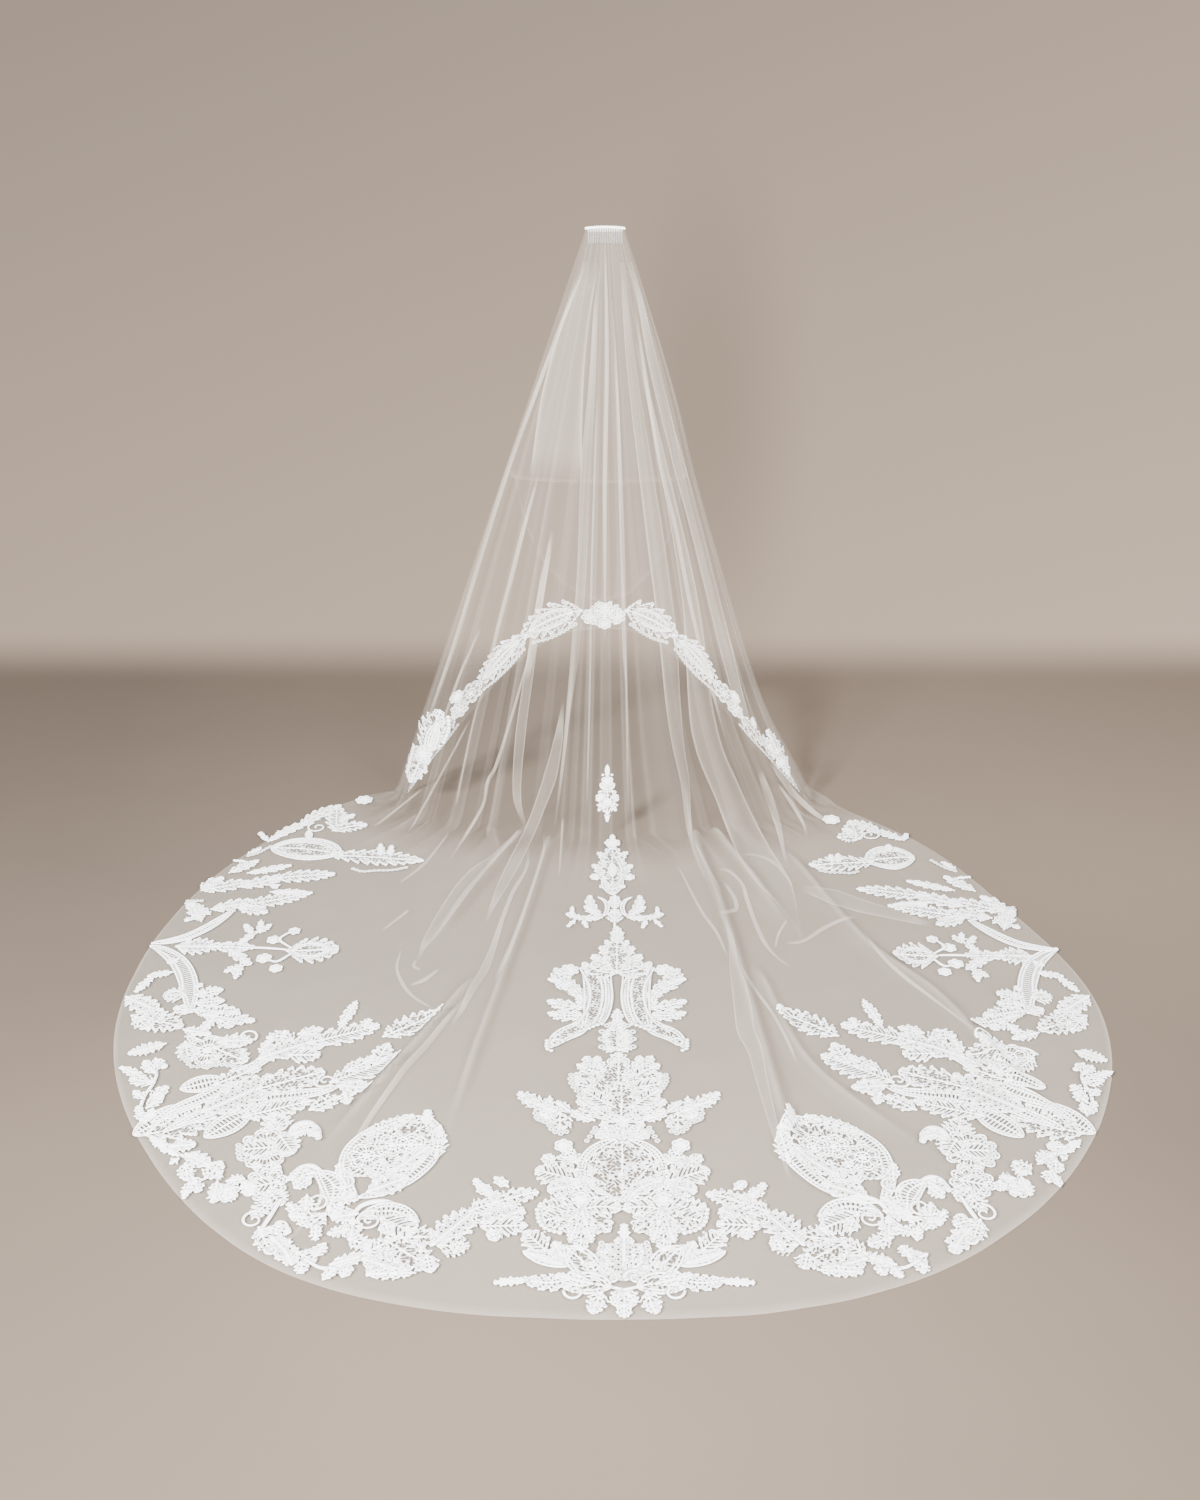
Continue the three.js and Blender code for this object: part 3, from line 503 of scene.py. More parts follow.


# Folds that lie doubled on the cloth and show as bands: for each, places on the photograph and the
# band's width there, all in pixels, as read off the photograph
Spot = namedtuple("Spot", "across down width")
FOLDS = [
    [(546, 560, 6), (528, 680, 9), (520, 740, 10), (517, 795, 8), (525, 826, 3)],
    [(526, 826, 3), (513, 838, 4), (493, 858, 6), (475, 874, 13), (460, 892, 15), (444, 915, 13),
     (432, 933, 10), (424, 945, 6), (418, 960, 2)],
    [(563, 703, 2), (558, 741, 9), (550, 777, 13), (539, 808, 11), (529, 833, 11), (516, 859, 12),
     (503, 884, 10), (492, 907, 5), (485, 924, 2)],
    [(600, 270, 3), (596, 304, 4), (592, 384, 7), (585, 476, 9), (582, 567, 9), (575, 653, 8),
     (568, 713, 4), (563, 762, 3), (555, 825, 2)],
    [(605, 240, 2), (607, 353, 4), (605, 476, 4), (605, 560, 3), (605, 640, 2)],
    [(614, 350, 2), (618, 414, 3), (621, 537, 3), (624, 647, 3), (627, 700, 2)],
    [(540, 470, 2), (523, 531, 4), (510, 583, 4), (498, 629, 4), (486, 680, 3), (476, 712, 2)],
    [(552, 530, 2), (546, 567, 5), (538, 613, 7), (532, 650, 7), (527, 680, 4)],
    [(480, 629, 2), (458, 680, 3), (440, 730, 2)],
    [(634, 300, 2), (648, 390, 4), (660, 463, 4), (676, 531, 4), (691, 607, 4), (706, 668, 4),
     (725, 735, 2)],
    [(597, 400, 2), (592, 560, 2), (590, 680, 2), (587, 804, 2)],
    [(612, 300, 2), (618, 400, 2), (624, 560, 2), (628, 804, 2)],
    [(529, 848, 2), (526, 869, 3), (513, 892, 4), (503, 917, 4), (494, 945, 6), (485, 968, 8),
     (472, 989, 7), (462, 1009, 5), (452, 1024, 3)],
    [(469, 994, 2), (447, 1019, 5), (426, 1045, 6), (409, 1063, 6), (396, 1080, 6), (362, 1130, 5),
     (330, 1190, 5), (290, 1240, 3)],
    [(544, 833, 2), (543, 853, 2), (529, 897, 3), (516, 933, 4), (503, 963, 4), (493, 984, 2)],
    [(563, 818, 2), (559, 879, 2)],
    [(554, 535, 2), (533, 640, 2), (500, 754, 3), (488, 782, 4), (483, 805, 3), (467, 833, 3),
     (447, 864, 2)],
    [(478, 703, 2), (469, 741, 2), (456, 805, 2)],
    [(470, 720, 2), (452, 754, 2), (409, 833, 2)],
    [(449, 833, 2), (424, 864, 3), (398, 884, 2)],
    [(421, 790, 2), (373, 828, 2)],
    [(409, 910, 3), (383, 930, 2)],
    [(401, 950, 2), (397, 968, 3), (403, 984, 4), (414, 997, 3), (434, 1009, 2)],
    [(416, 960, 2), (414, 966, 3), (421, 970, 2)],
    [(410, 985, 2), (424, 980, 4), (439, 969, 2)],
    [(593, 262, 12), (574, 330, 28), (562, 400, 42), (556, 476, 52)],
    [(622, 262, 4), (630, 353, 9), (642, 445, 13), (655, 537, 17), (667, 629, 18), (673, 702, 15),
     (678, 744, 12), (685, 782, 9), (688, 818, 6), (692, 843, 3), (699, 864, 3), (708, 884, 2),
     (713, 897, 2)],
    [(695, 843, 2), (706, 864, 2), (722, 892, 2)],
    [(637, 344, 3), (666, 478, 8), (690, 600, 16), (704, 728, 26), (729, 796, 27), (752, 848, 32),
     (769, 874, 31), (782, 892, 24), (795, 920, 8), (802, 940, 2)],
    [(740, 855, 2), (755, 855, 2), (773, 862, 3), (785, 874, 3), (794, 888, 2)],
    [(760, 772, 5), (768, 795, 8), (778, 825, 6), (784, 853, 3), (787, 864, 2)],
    [(778, 784, 2), (792, 804, 4), (803, 823, 3), (807, 836, 2)],
    [(772, 762, 6), (790, 789, 6), (811, 810, 5), (828, 822, 3)],
    [(803, 888, 6), (834, 897, 15), (862, 906, 13), (900, 916, 9), (930, 925, 4)],
    [(717, 870, 2), (729, 871, 3), (742, 884, 3), (747, 899, 4), (755, 922, 4), (765, 943, 4),
     (778, 958, 2), (793, 968, 2)],
    [(724, 882, 2), (734, 897, 4), (736, 909, 4), (724, 912, 3), (719, 911, 2)],
    [(719, 911, 3), (727, 925, 4), (732, 943, 6), (734, 966, 9), (739, 986, 15), (743, 1009, 18),
     (746, 1030, 18), (755, 1050, 15), (762, 1080, 12), (775, 1130, 8), (790, 1180, 3)],
    [(739, 963, 2), (755, 989, 3), (773, 1014, 3), (788, 1042, 3), (797, 1063, 2)],
    [(678, 866, 2), (701, 910, 3), (717, 933, 3), (728, 958, 2)],
    [(785, 943, 2), (803, 941, 3), (824, 928, 4), (844, 919, 3), (857, 917, 2)],
    [(787, 920, 2), (779, 933, 3), (775, 948, 2)],
    [(864, 930, 2), (877, 950, 3), (900, 973, 4), (935, 1000, 3), (975, 1030, 2)],
    [(630, 262, 4), (641, 304, 6), (652, 359, 9), (667, 420, 10), (682, 476, 12), (697, 531, 12),
     (712, 592, 12), (727, 653, 12), (742, 710, 10), (754, 748, 6)],
    [(585, 262, 3), (563, 320, 4), (535, 395, 4), (505, 480, 5), (474, 580, 5), (456, 640, 4),
     (425, 730, 3)],
]
FOLD_POINTS = 13
FOLD_OFF = 0.004
FOLD_BULGE = 0.15
FOLD_BAND = 0.085
FOLD_LINE = 0.34
FOLD_THIN = 0.17
FOLD_EDGE_SHARPNESS = 10
FOLD_STEPS = 9
FOLD_ENDS = 0.12
FOLD_END_SHARE = 0.15
PIXEL_ON_FLOOR = 0.0025

# The widths, in pixels, at which a fold turns from a thin line into a line and into a band: where
# each turn begins, and how long it is
LINE_FROM = 2
LINE_TURN = 3
BAND_FROM = 3
BAND_TURN = 6

# How many neighbours on each side a depth is evened out with
NEIGHBOURS = 3


def seen_depths(tree, across, down):
    """How far in front of the camera the cloth is at places on the photograph, evened out."""
    depths = np.full(len(across), np.nan)
    for k, (x, y) in enumerate(zip(across, down)):
        hit = tree.ray_cast(Vector(CAMERA_PLACE), Vector(pixel_ray(x, y)))[0]
        if hit is not None:
            away = np.array(hit) - CAMERA_PLACE
            depths[k] = away @ pixel_ray(*PHOTO_CENTRE)
    steps = np.arange(len(depths))
    found = ~np.isnan(depths)
    depths = np.interp(steps, steps[found], depths[found])
    padded = np.pad(depths, NEIGHBOURS, mode="edge")
    window = 2 * NEIGHBOURS + 1
    return np.convolve(padded, np.ones(window) / window, mode="valid")


def pixel_ray(across, down):
    """The way from the camera to a place on the photograph, one long in front of the camera."""
    side = (across - PHOTO_CENTRE[0]) / LENS_PIXELS
    up = (PHOTO_CENTRE[1] - down) / LENS_PIXELS
    return np.stack([
        side + 0 * up,
        math.cos(CAMERA_PITCH) + up * math.sin(CAMERA_PITCH),
        up * math.cos(CAMERA_PITCH) - math.sin(CAMERA_PITCH),
    ], -1)


def fold_strip(tree, spots):
    """Points and cover of one doubled fold, laid on the cloth."""
    spots = [Spot(*spot) for spot in spots]
    path = smooth_path([(spot.across, spot.down) for spot in spots], FOLD_STEPS)
    runs = path_runs(path)
    steps = np.linspace(0, 1, len(path))
    widths = np.interp(steps, np.linspace(0, 1, len(spots)), [spot.width for spot in spots])
    way = np.gradient(path, axis=0)
    way /= np.linalg.norm(way, axis=1, keepdims=True)
    normal = np.stack([-way[:, 1], way[:, 0]], -1)
    side = np.linspace(-1, 1, FOLD_POINTS)
    depths = [seen_depths(tree, *(path + normal * (t * widths / 2)[:, None]).T) for t in (-1, 0, 1)]
    place = path[:, None] + normal[:, None] * (widths[:, None] * side / 2)[..., None]
    low, middle, high = (depth[:, None] for depth in depths)
    depth = middle + side * (high - low) / 2 + side ** 2 * ((high + low) / 2 - middle)
    bulge = FOLD_BULGE * widths[:, None] * PIXEL_ON_FLOOR * (1 - side ** 2)
    depth = depth - FOLD_OFF - bulge
    points = CAMERA_PLACE + pixel_ray(place[..., 0], place[..., 1]) * depth[..., None]
    points[..., 2] = np.maximum(points[..., 2], FLOOR_Z + FOLD_OFF / 2)
    wide = np.clip((widths - BAND_FROM) / BAND_TURN, 0, 1)[:, None]
    band = FOLD_BAND + (FOLD_LINE - FOLD_BAND) * np.abs(side) ** FOLD_EDGE_SHARPNESS
    thickness = np.clip((widths - LINE_FROM) / LINE_TURN, 0, 1)[:, None]
    line = FOLD_THIN + (FOLD_LINE - FOLD_THIN) * thickness
    cover = (1 - wide) * line + wide * band
    share = (runs / runs[-1])[:, None]
    ends = smooth_step(share / FOLD_ENDS) * smooth_step((1 - share) / FOLD_ENDS)
    return points, cover * (FOLD_END_SHARE + (1 - FOLD_END_SHARE) * ends)


def build_folds(cloth):
    """The doubled folds, as strips of the same net on the cloth."""
    count = len(cloth.data.vertices)
    places = np.empty(count * 3, np.float32)
    cloth.data.vertices.foreach_get("co", places)
    faces_of_cloth = [tuple(face.vertices) for face in cloth.data.polygons]
    tree = BVHTree.FromPolygons(places.reshape(-1, 3).tolist(), faces_of_cloth)
    points = []
    covers = []
    faces = []
    start = 0
    for spots in FOLDS:
        strip, cover = fold_strip(tree, spots)
        rows, columns = cover.shape
        corner = start + np.arange(rows * columns).reshape(rows, columns)
        quads = [corner[:-1, :-1], corner[1:, :-1], corner[1:, 1:], corner[:-1, 1:]]
        faces.append(np.stack(quads, -1).reshape(-1, 4))
        points.append(strip.reshape(-1, 3))
        covers.append(cover.ravel())
        start += rows * columns
    piece = make_mesh("cloth_folds", np.concatenate(points), np.concatenate(faces))
    set_cover(piece, np.concatenate(covers))
    return piece


def streak_layers(angle):
    """Layers that the hanging folds add: a flat band with a denser line along each side."""
    layers = np.zeros(angle.shape)
    for streak in STREAKS:
        off = np.abs(np.degrees(angle) - streak.angle) / streak.half
        band = STREAK_BAND * (1 - smooth_step((off - STREAK_BAND_HALF) / STREAK_BAND_FADE))
        line = np.exp(-((off - 1) * streak.half / STREAK_LINE) ** 2)
        layers = layers + STREAK_SHARE * streak.layers * np.maximum(band, line)
    return layers


# The short layer: its grid, its ruffles, how far it hangs inside the cone, and how many layers its
# body, its streaks and its cut edge seem to have
INNER_COLUMNS = 360
INNER_ROWS = 60
INNER_CLOSENESS = 1.2
RUFFLE = 0.004
RUFFLES = 29
RUFFLE_SWAY = 2
RUFFLE_SWAYS = 5
INNER_IN = 0.002
INNER_STREAKS = 23
INNER_SEED = 1.9
INNER_EDGE = 0.012
INNER_LAYERS = 0.7
INNER_STREAK_LAYERS = 1.3
INNER_EDGE_LAYERS = 2.5


def build_inner_tulle():
    angles = np.linspace(-math.pi, math.pi, INNER_COLUMNS, endpoint=False)
    share = np.linspace(0, 1, INNER_ROWS)[:, None] ** INNER_CLOSENESS
    angle = np.broadcast_to(angles, (INNER_ROWS, INNER_COLUMNS))
    behind = smooth_step((np.abs(angle) - INNER_TAIL_FROM) / (math.pi - INNER_TAIL_FROM))
    drop = share * (INNER_DROP + INNER_TAIL * behind)
    start = heading_point(angle, INNER_HEADING)
    top = heading_point(angle, HEADING)
    wall = top + (foot_point(angle) - top) * (drop / COMB_HEIGHT)[..., None]
    spread = np.clip(share / INNER_SPREAD, 0, 1)
    sway = RUFFLE_SWAY * np.sin(RUFFLE_SWAYS * angle)
    ruffle = RUFFLE * np.sin(RUFFLES * angle + sway) * drop / INNER_DROP
    side = outward(angle, drop)
    x = start[..., 0] + (wall[..., 0] * INNER_SCALE.across - start[..., 0]) * spread
    y = start[..., 1] + (wall[..., 1] * INNER_SCALE.deep - start[..., 1]) * spread
    points = np.stack([x, y, start[..., 2] - drop], -1)
    points[..., :2] += side[..., :2] * (ruffle - INNER_IN * share)[..., None]
    points = draw_in(points)
    piece = make_mesh("short_cloth", points.reshape(-1, 3), loop_faces(INNER_ROWS, INNER_COLUMNS))
    streak = np.clip(wave(angle * INNER_STREAKS, INNER_SEED), 0, 1) ** 2
    edge = np.clip(1 - (1 - share) / INNER_EDGE, 0, 1)
    layers = INNER_LAYERS + INNER_STREAK_LAYERS * streak + INNER_EDGE_LAYERS * edge
    set_cover(piece, layered(layers))
    return piece


# Materials


def add_node(tree, kind, inputs, **settings):
    """A shader node. Each of its inputs is set to a value or joined to another node's output."""
    made = tree.nodes.new("ShaderNode" + kind)
    for setting, value in settings.items():
        setattr(made, setting, value)
    set_inputs(tree, made, inputs)
    return made


def set_inputs(tree, node, inputs):
    for socket, value in inputs.items():
        if isinstance(value, bpy.types.NodeSocket):
            tree.links.new(value, node.inputs[socket])
        else:
            node.inputs[socket].default_value = value


def add_ramp(tree, factor, first, last, start=0.0, end=1.0):
    """A ramp between two colours."""
    ramp = add_node(tree, "ValToRGB", {"Fac": factor})
    for element, position, colour in zip(ramp.color_ramp.elements, (start, end), (first, last)):
        element.position = position
        element.color = (*colour, 1)
    return ramp.outputs["Color"]


def add_range(tree, value, start, end, low=0.0, high=1.0, curve="LINEAR"):
    """Maps the range from start to end onto low to high."""
    inputs = {"Value": value, "From Min": start, "From Max": end, "To Min": low, "To Max": high}
    return add_node(tree, "MapRange", inputs, interpolation_type=curve).outputs["Result"]


def add_math(tree, operation, *values, clamp=False):
    inputs = dict(enumerate(values))
    return add_node(tree, "Math", inputs, operation=operation, use_clamp=clamp).outputs["Value"]


def add_noise(tree, place, scale, detail=2.0):
    return add_node(tree, "TexNoise", {"Scale": scale, "Detail": detail, "Vector": place}).outputs["Fac"]


def add_bump(tree, height, strength, distance):
    inputs = {"Strength": strength, "Distance": distance, "Height": height}
    return add_node(tree, "Bump", inputs).outputs["Normal"]


def add_attribute(tree, name):
    return add_node(tree, "Attribute", {}, attribute_name=name).outputs["Fac"]


def add_place(tree):
    return add_node(tree, "TexCoord", {}).outputs["Object"]


def new_material(name):
    material = bpy.data.materials.new(name)
    material.use_nodes = True
    return material, material.node_tree, material.node_tree.nodes["Principled BSDF"]


# Scales of the patterns in the materials, in cells a metre, and how far they change what they act on
NET_SCALE = 620
CLOUD_SCALE = 9
NET_CHANGE = (0.8, 1.2)
CLOUD_CHANGE = (0.86, 1.14)
THREAD_SCALE = 420
THREAD_SHADE = 0.35
STREAK_SCALE = 190
STREAK_SHADE = 0.2


def tulle_material():
    material, tree, shader = new_material("tulle_net")
    place = add_place(tree)
    cells = add_node(tree, "TexVoronoi", {"Scale": NET_SCALE, "Vector": place}).outputs["Distance"]
    uneven = add_range(tree, add_noise(tree, place, CLOUD_SCALE, 3), 0, 1, *CLOUD_CHANGE)
    net = add_range(tree, cells, 0, 1, *NET_CHANGE)
    both = add_math(tree, "MULTIPLY", uneven, net)
    set_inputs(tree, shader, {
        "Base Color": (0.70, 0.615, 0.52, 1),
        "Roughness": 0.75,
        "Specular IOR Level": 0.2,
        "Sheen Weight": 0.25,
        "Alpha": add_math(tree, "MULTIPLY", add_attribute(tree, "cover"), both, clamp=True),
    })
    return material


def lace_material():
    material, tree, shader = new_material("corded_lace")
    thread = add_noise(tree, add_place(tree), THREAD_SCALE)
    # Painted shade: the base colour runs from dark grey where the thread lies low, in grooves and between
    # cords, to white on the raised cords; the fine noise is the thread's own uneven tone
    shade = add_math(tree, "MULTIPLY_ADD", thread, THREAD_SHADE, add_attribute(tree, "painted_relief_shade"))
    set_inputs(tree, shader, {
        "Base Color": add_ramp(tree, shade, (0.36, 0.345, 0.325), (0.99, 0.985, 0.98), 0.2, 0.92),
        "Roughness": 0.7,
        "Specular IOR Level": 0.25,
        "Sheen Weight": 0.2,
        "Normal": add_bump(tree, thread, 0.35, 0.001),
    })
    return material


# Where the comb's teeth are grey and where its bar is white, in metres up from the origin
TEETH_GREY = -0.010
BAR_WHITE = -0.002


def comb_material():
    """White along the bar and grey and glossy down the teeth."""
    material, tree, shader = new_material("comb_white")
    place = add_place(tree)
    apart = add_node(tree, "SeparateXYZ", {"Vector": place})
    streaks = add_noise(tree, place, STREAK_SCALE)
    height = add_range(tree, apart.outputs["Z"], TEETH_GREY, BAR_WHITE)
    uneven = add_math(tree, "MULTIPLY_ADD", streaks, STREAK_SHADE, height)
    set_inputs(tree, shader, {
        "Base Color": add_ramp(tree, uneven, (0.13, 0.125, 0.12), (0.90, 0.89, 0.875)),
        "Roughness": 0.36,
        "Normal": add_bump(tree, streaks, 0.2, 0.0005),
    })
    return material


# Painted light on the floor, in metres on the floor plan: a painted fall-off of the light from the left
# to the right far off, a painted pool of light away from its brightest place near by, and the blend from far
# off to near by
FAR_PAINTED_LIGHT = (-1.75, 1.6)
NEAR_PAINTED_LIGHT_POOL = (0.2, 1.5, 0.85, 0.15)
FAR_TO_NEAR = (-0.1, -1.3)
MOTTLE_SCALE = 1.6
MOTTLE = 0.3


def floor_material():
    """Painted light: palest in a painted pool of light in front of the train, and darker towards the back on
    the left as a painted fall-off of the light.
    """
    material, tree, shader = new_material("studio_floor")
    place = add_place(tree)
    apart = add_node(tree, "SeparateXYZ", {"Vector": place}).outputs
    away = add_node(tree, "VectorMath", {0: place, 1: PAINTED_LIGHT_POOL_MIDDLE}, operation="DISTANCE").outputs["Value"]
    # Painted light: a painted fall-off from left to right far off, blended into a painted pool of light near
    # by; the mottle is the floor's own uneven tone
    painted_light = add_node(tree, "Mix", {
        "Factor": add_range(tree, apart["Y"], *FAR_TO_NEAR),
        "A": add_range(tree, apart["X"], *FAR_PAINTED_LIGHT),
        "B": add_range(tree, away, *NEAR_PAINTED_LIGHT_POOL),
    }).outputs["Result"]
    uneven = add_math(tree, "MULTIPLY_ADD", add_noise(tree, place, MOTTLE_SCALE, 4), MOTTLE, painted_light)
    set_inputs(tree, shader, {
        "Base Color": add_ramp(tree, uneven, (0.077, 0.0585, 0.0455), (0.128, 0.096, 0.073), 0.15),
        "Roughness": 0.9,
        "Specular IOR Level": 0.1,
        "Alpha": add_range(tree, apart["Y"], FLOOR_FAR + SEAM / 2, FLOOR_FAR - SEAM / 2, curve="SMOOTHSTEP"),
    })
    return material


# Lace. Each motif is drawn as a field over a fine grid: how far inside the thread a place is, in
# millimetres, and how high the thread stands there. The zero line of the field is then meshed, so
# every gap between threads is a real hole. All sizes of the lace are in millimetres.
CELL = 2.16
CROSSING = (0.04, 0.96)
FIELD_MARGIN = 8.0
CORD = 2.0
LOW_THREAD = 0.7
HIGH_THREAD = 2.2
EDGE_THREAD = 0.25
OFF_THE_TULLE = 3.0

Leaf = namedtuple("Leaf", "root tip width bend lobes fill", defaults=(0, 4, "veins"))
Cord = namedtuple("Cord", "path width")
Band = namedtuple("Band", "path width fill", defaults=("bars",))
Flower = namedtuple("Flower", "middle radius petals")
Curl = namedtuple("Curl", "middle radius turns start")
Knobs = namedtuple("Knobs", "path radius")

# The shape of leaves and bands, and the scallops and picots along a leaf's edge
LEAF_STEPS = 12
LEAF_FULLNESS = 0.6
BAND_ROUNDNESS = 0.4
SCALLOP = 0.46
LEAN = 0.5
LOBE_PITCH = 27
LOBE_SKEW = 1.5
LOBE_SQUARENESS = 1.6
LOBE_FULLNESS = 0.7
LOBE_PROUD = 0.06
PICOT_PITCH = 9.6
PICOT_HEIGHT = 4.4
PICOT_LEVEL = 0.6

# The groove where one form lies over another, a real recess that the lace's colour also paints dark as
# shade, the painted shade given to points on cut edges, the second cord inside an edge, and the thin threads
GROOVE = 3.0
GROOVE_HEIGHT = 0.1
EDGE_SHADE = 0.5
SECOND_CORD = 9.5
SECOND_HEIGHT = 0.9
THREAD_RISE = 0.9
THREAD_LEAST = 0.15
THREAD_MOST = 2.1
SPINE_SHARE = 0.8
EMPTY = -3.0

# The patterns that fill a leaf or band, in millimetres: how far apart their threads are, how thick
# they are, and how they slant or wind
VEIN_PITCH = 9.6
VEIN_THREAD = 2.0
VEIN_SLANT = 0.5
VEIN_BEND = 0.012
VEIN_SLOPE = 0.85
BAR_PITCH = 8.4
BAR_THREAD = 2.1
RING_PITCH = 12.4
RING_ROWS = 10.6
RING_RADIUS = 4.6
RING_THREAD = 1.7
WORM_THREAD = 1.8
WORM_SLOPE = 2.8
PLAIN = 2.0

Winding = namedtuple("Winding", "rate sway sway_rate sway_start")
WORM_ALONG = Winding(0.35, 1.7, 0.25, 0.6)
WORM_ACROSS = Winding(0.37, 1.6, 0.26, 1.1)


def winding(first, second, w):
    return np.sin(w.rate * first + w.sway * np.sin(w.sway_rate * second + w.sway_start))


def fill_amount(fill, along, side):
    """How far inside the thread a place in a filled area is."""
    if fill == "veins":
        slanted = along - VEIN_SLANT * np.abs(side) - VEIN_BEND * side ** 2
        return VEIN_THREAD - np.abs(slanted % VEIN_PITCH - VEIN_PITCH / 2) * VEIN_SLOPE
    if fill == "bars":
        return BAR_THREAD - np.abs(along % BAR_PITCH - BAR_PITCH / 2)
    if fill == "rings":
        row = np.round(side / RING_ROWS)
        across = side - RING_ROWS * row
        shifted = along + RING_PITCH / 2 * (row % 2)
        return RING_THREAD - np.abs(np.hypot(across, (shifted % RING_PITCH) - RING_PITCH / 2) - RING_RADIUS)
    if fill == "worms":
        both = winding(along, side, WORM_ALONG) + winding(side, along, WORM_ACROSS)
        return WORM_THREAD - WORM_SLOPE * np.abs(both)
    return np.full(along.shape, PLAIN)


def corded(inside, pattern):
    """A filled area with a cord round it: its outline, its thread, and the thread's height."""
    edge = CORD - np.abs(inside - CORD)
    second = CORD - np.abs(inside - SECOND_CORD)
    solid = np.maximum(np.maximum(edge, second), np.minimum(inside, pattern))
    dome = np.sqrt(np.clip(1 - ((inside - CORD) / CORD) ** 2, 0, 1))
    inner = SECOND_HEIGHT * np.sqrt(np.clip(second / CORD, 0, 1))
    thread = LOW_THREAD * np.clip(THREAD_RISE * pattern, THREAD_LEAST, THREAD_MOST)
    return inside, solid, np.maximum(thread, HIGH_THREAD * np.maximum(dome, inner))


def leaf_field(x, y, leaf):
    root = np.array(leaf.root, float)
    tip = np.array(leaf.tip, float)
    along = tip - root
    across = np.array([-along[1], along[0]])
    steps = np.linspace(0, 1, LEAF_STEPS + 1)[:, None]
    path = root + along * steps + across * leaf.bend * np.sin(math.pi * steps)
    place, side, length = path_coordinates(x, y, path)
    t = np.clip((place - LEAN * np.abs(side)) / length, 0, 1)
    half = leaf.width / 2 * np.sin(math.pi * np.clip(place / length, 0, 1)) ** LEAF_FULLNESS
    if leaf.lobes > 1:
        lobes = max(leaf.lobes, round(length / LOBE_PITCH))
        within = (lobes * t) % 1
        lobe = np.clip(1 - np.abs(2 * within ** LOBE_SKEW - 1) ** LOBE_SQUARENESS, 0, 1) ** LOBE_FULLNESS
        half = half * (1 + LOBE_PROUD - SCALLOP * (1 - lobe))
        half = half + PICOT_HEIGHT * (PICOT_LEVEL - np.abs(np.sin(math.pi * place / PICOT_PITCH)))
    inside = half - np.abs(side)
    vein = SPINE_SHARE * CORD - np.abs(side)
    pattern = np.maximum(vein, fill_amount(leaf.fill, place, side))
    inside, solid, height = corded(inside, pattern)
    spine = HIGH_THREAD * np.sqrt(np.clip(1 - (side / CORD) ** 2, 0, 1)) * (inside > 0)
    return inside, solid, np.maximum(height, spine)


# A cord swells from its ends to its middle, a band closes at its ends
PATH_STEPS = 5
CORD_END = 0.55
CORD_SWELL = 0.45
CORD_SWELLS = (0.12, 0.88)
BAND_CLOSES = (0.01, 0.99)
LEAST_DOME = 0.05


def round_thread(solid, half):
    return HIGH_THREAD * np.sqrt(np.clip(solid / half, LEAST_DOME, 1))


def cord_field(x, y, cord):
    place, side, length = path_coordinates(x, y, smooth_path(cord.path, PATH_STEPS))
    swell = CORD_END + CORD_SWELL * np.sin(math.pi * np.clip(place / length, *CORD_SWELLS))
    half = cord.width / 2 * swell
    solid = half - np.abs(side)
    return solid, solid, round_thread(solid, half)


def band_field(x, y, band):
    place, side, length = path_coordinates(x, y, smooth_path(band.path, PATH_STEPS))
    ends = np.sin(math.pi * np.clip(place / length, *BAND_CLOSES)) ** BAND_ROUNDNESS
    inside = band.width / 2 * ends - np.abs(side)
    return corded(inside, fill_amount(band.fill, place, side))


# A flower: its petals' reach, the partings between them, the rays in them, and its ring and heart
PETAL_REACH = 0.74
PETAL_SWELL = 0.26
PETAL_FULLNESS = 0.6
PARTING = 1.5
RAY = 1.1
RAYS = 3
RING_PLACE = 0.36
HEART = 0.2
RAISED_SHARE = 0.9


def flower_field(x, y, flower):
    away_x = x - flower.middle[0]
    away_y = y - flower.middle[1]
    r = np.hypot(away_x, away_y)
    turn = np.arctan2(away_y, away_x)
    half_turn = flower.petals / 2 * turn
    ring_radius = RING_PLACE * flower.radius
    reach = flower.radius * (PETAL_REACH + PETAL_SWELL * np.abs(np.sin(half_turn)) ** PETAL_FULLNESS)
    parting = PARTING - r * np.abs(np.sin(half_turn)) * 2 / flower.petals
    rays = RAY - r * np.abs(np.sin(RAYS * half_turn)) * 2 / (RAYS * flower.petals)
    ring = PARTING - np.abs(r - ring_radius)
    heart = HEART * flower.radius - r
    pattern = np.maximum.reduce([parting, np.where(r > ring_radius, rays, -1), ring, heart])
    inside, solid, height = corded(reach - r, pattern)
    raised = np.where((ring > 0) | (heart > 0) | (parting > 0), HIGH_THREAD * RAISED_SHARE, 0)
    return inside, solid, np.maximum(height, np.where(inside > 0, raised, 0))


# A curl winds in by this share of its radius and gets thinner on the way
CURL_STEPS = 14
CURL_IN = 0.86
CURL_HALF = 2.9
CURL_THINS = 1.0


def curl_path(curl):
    steps = np.linspace(0, 1, int(CURL_STEPS * abs(curl.turns)) + 2)
    turn = math.radians(curl.start) + 2 * math.pi * curl.turns * steps
    r = curl.radius * (1 - CURL_IN * steps)
    return np.stack([curl.middle[0] + r * np.cos(turn), curl.middle[1] + r * np.sin(turn)], -1)


def curl_field(x, y, curl):
    place, side, length = path_coordinates(x, y, curl_path(curl))
    half = CURL_HALF - CURL_THINS * place / length
    solid = half - np.abs(side)
    return solid, solid, round_thread(solid, half)


# Knobs: how far apart they are as a share of their radius, from what radius they are rings, and how
# wide such a ring is
KNOB_STEPS = 6
KNOB_PITCH = 2.1
KNOB_PIERCED = 5.5
KNOB_RING = 0.62
KNOB_DOME = 0.1


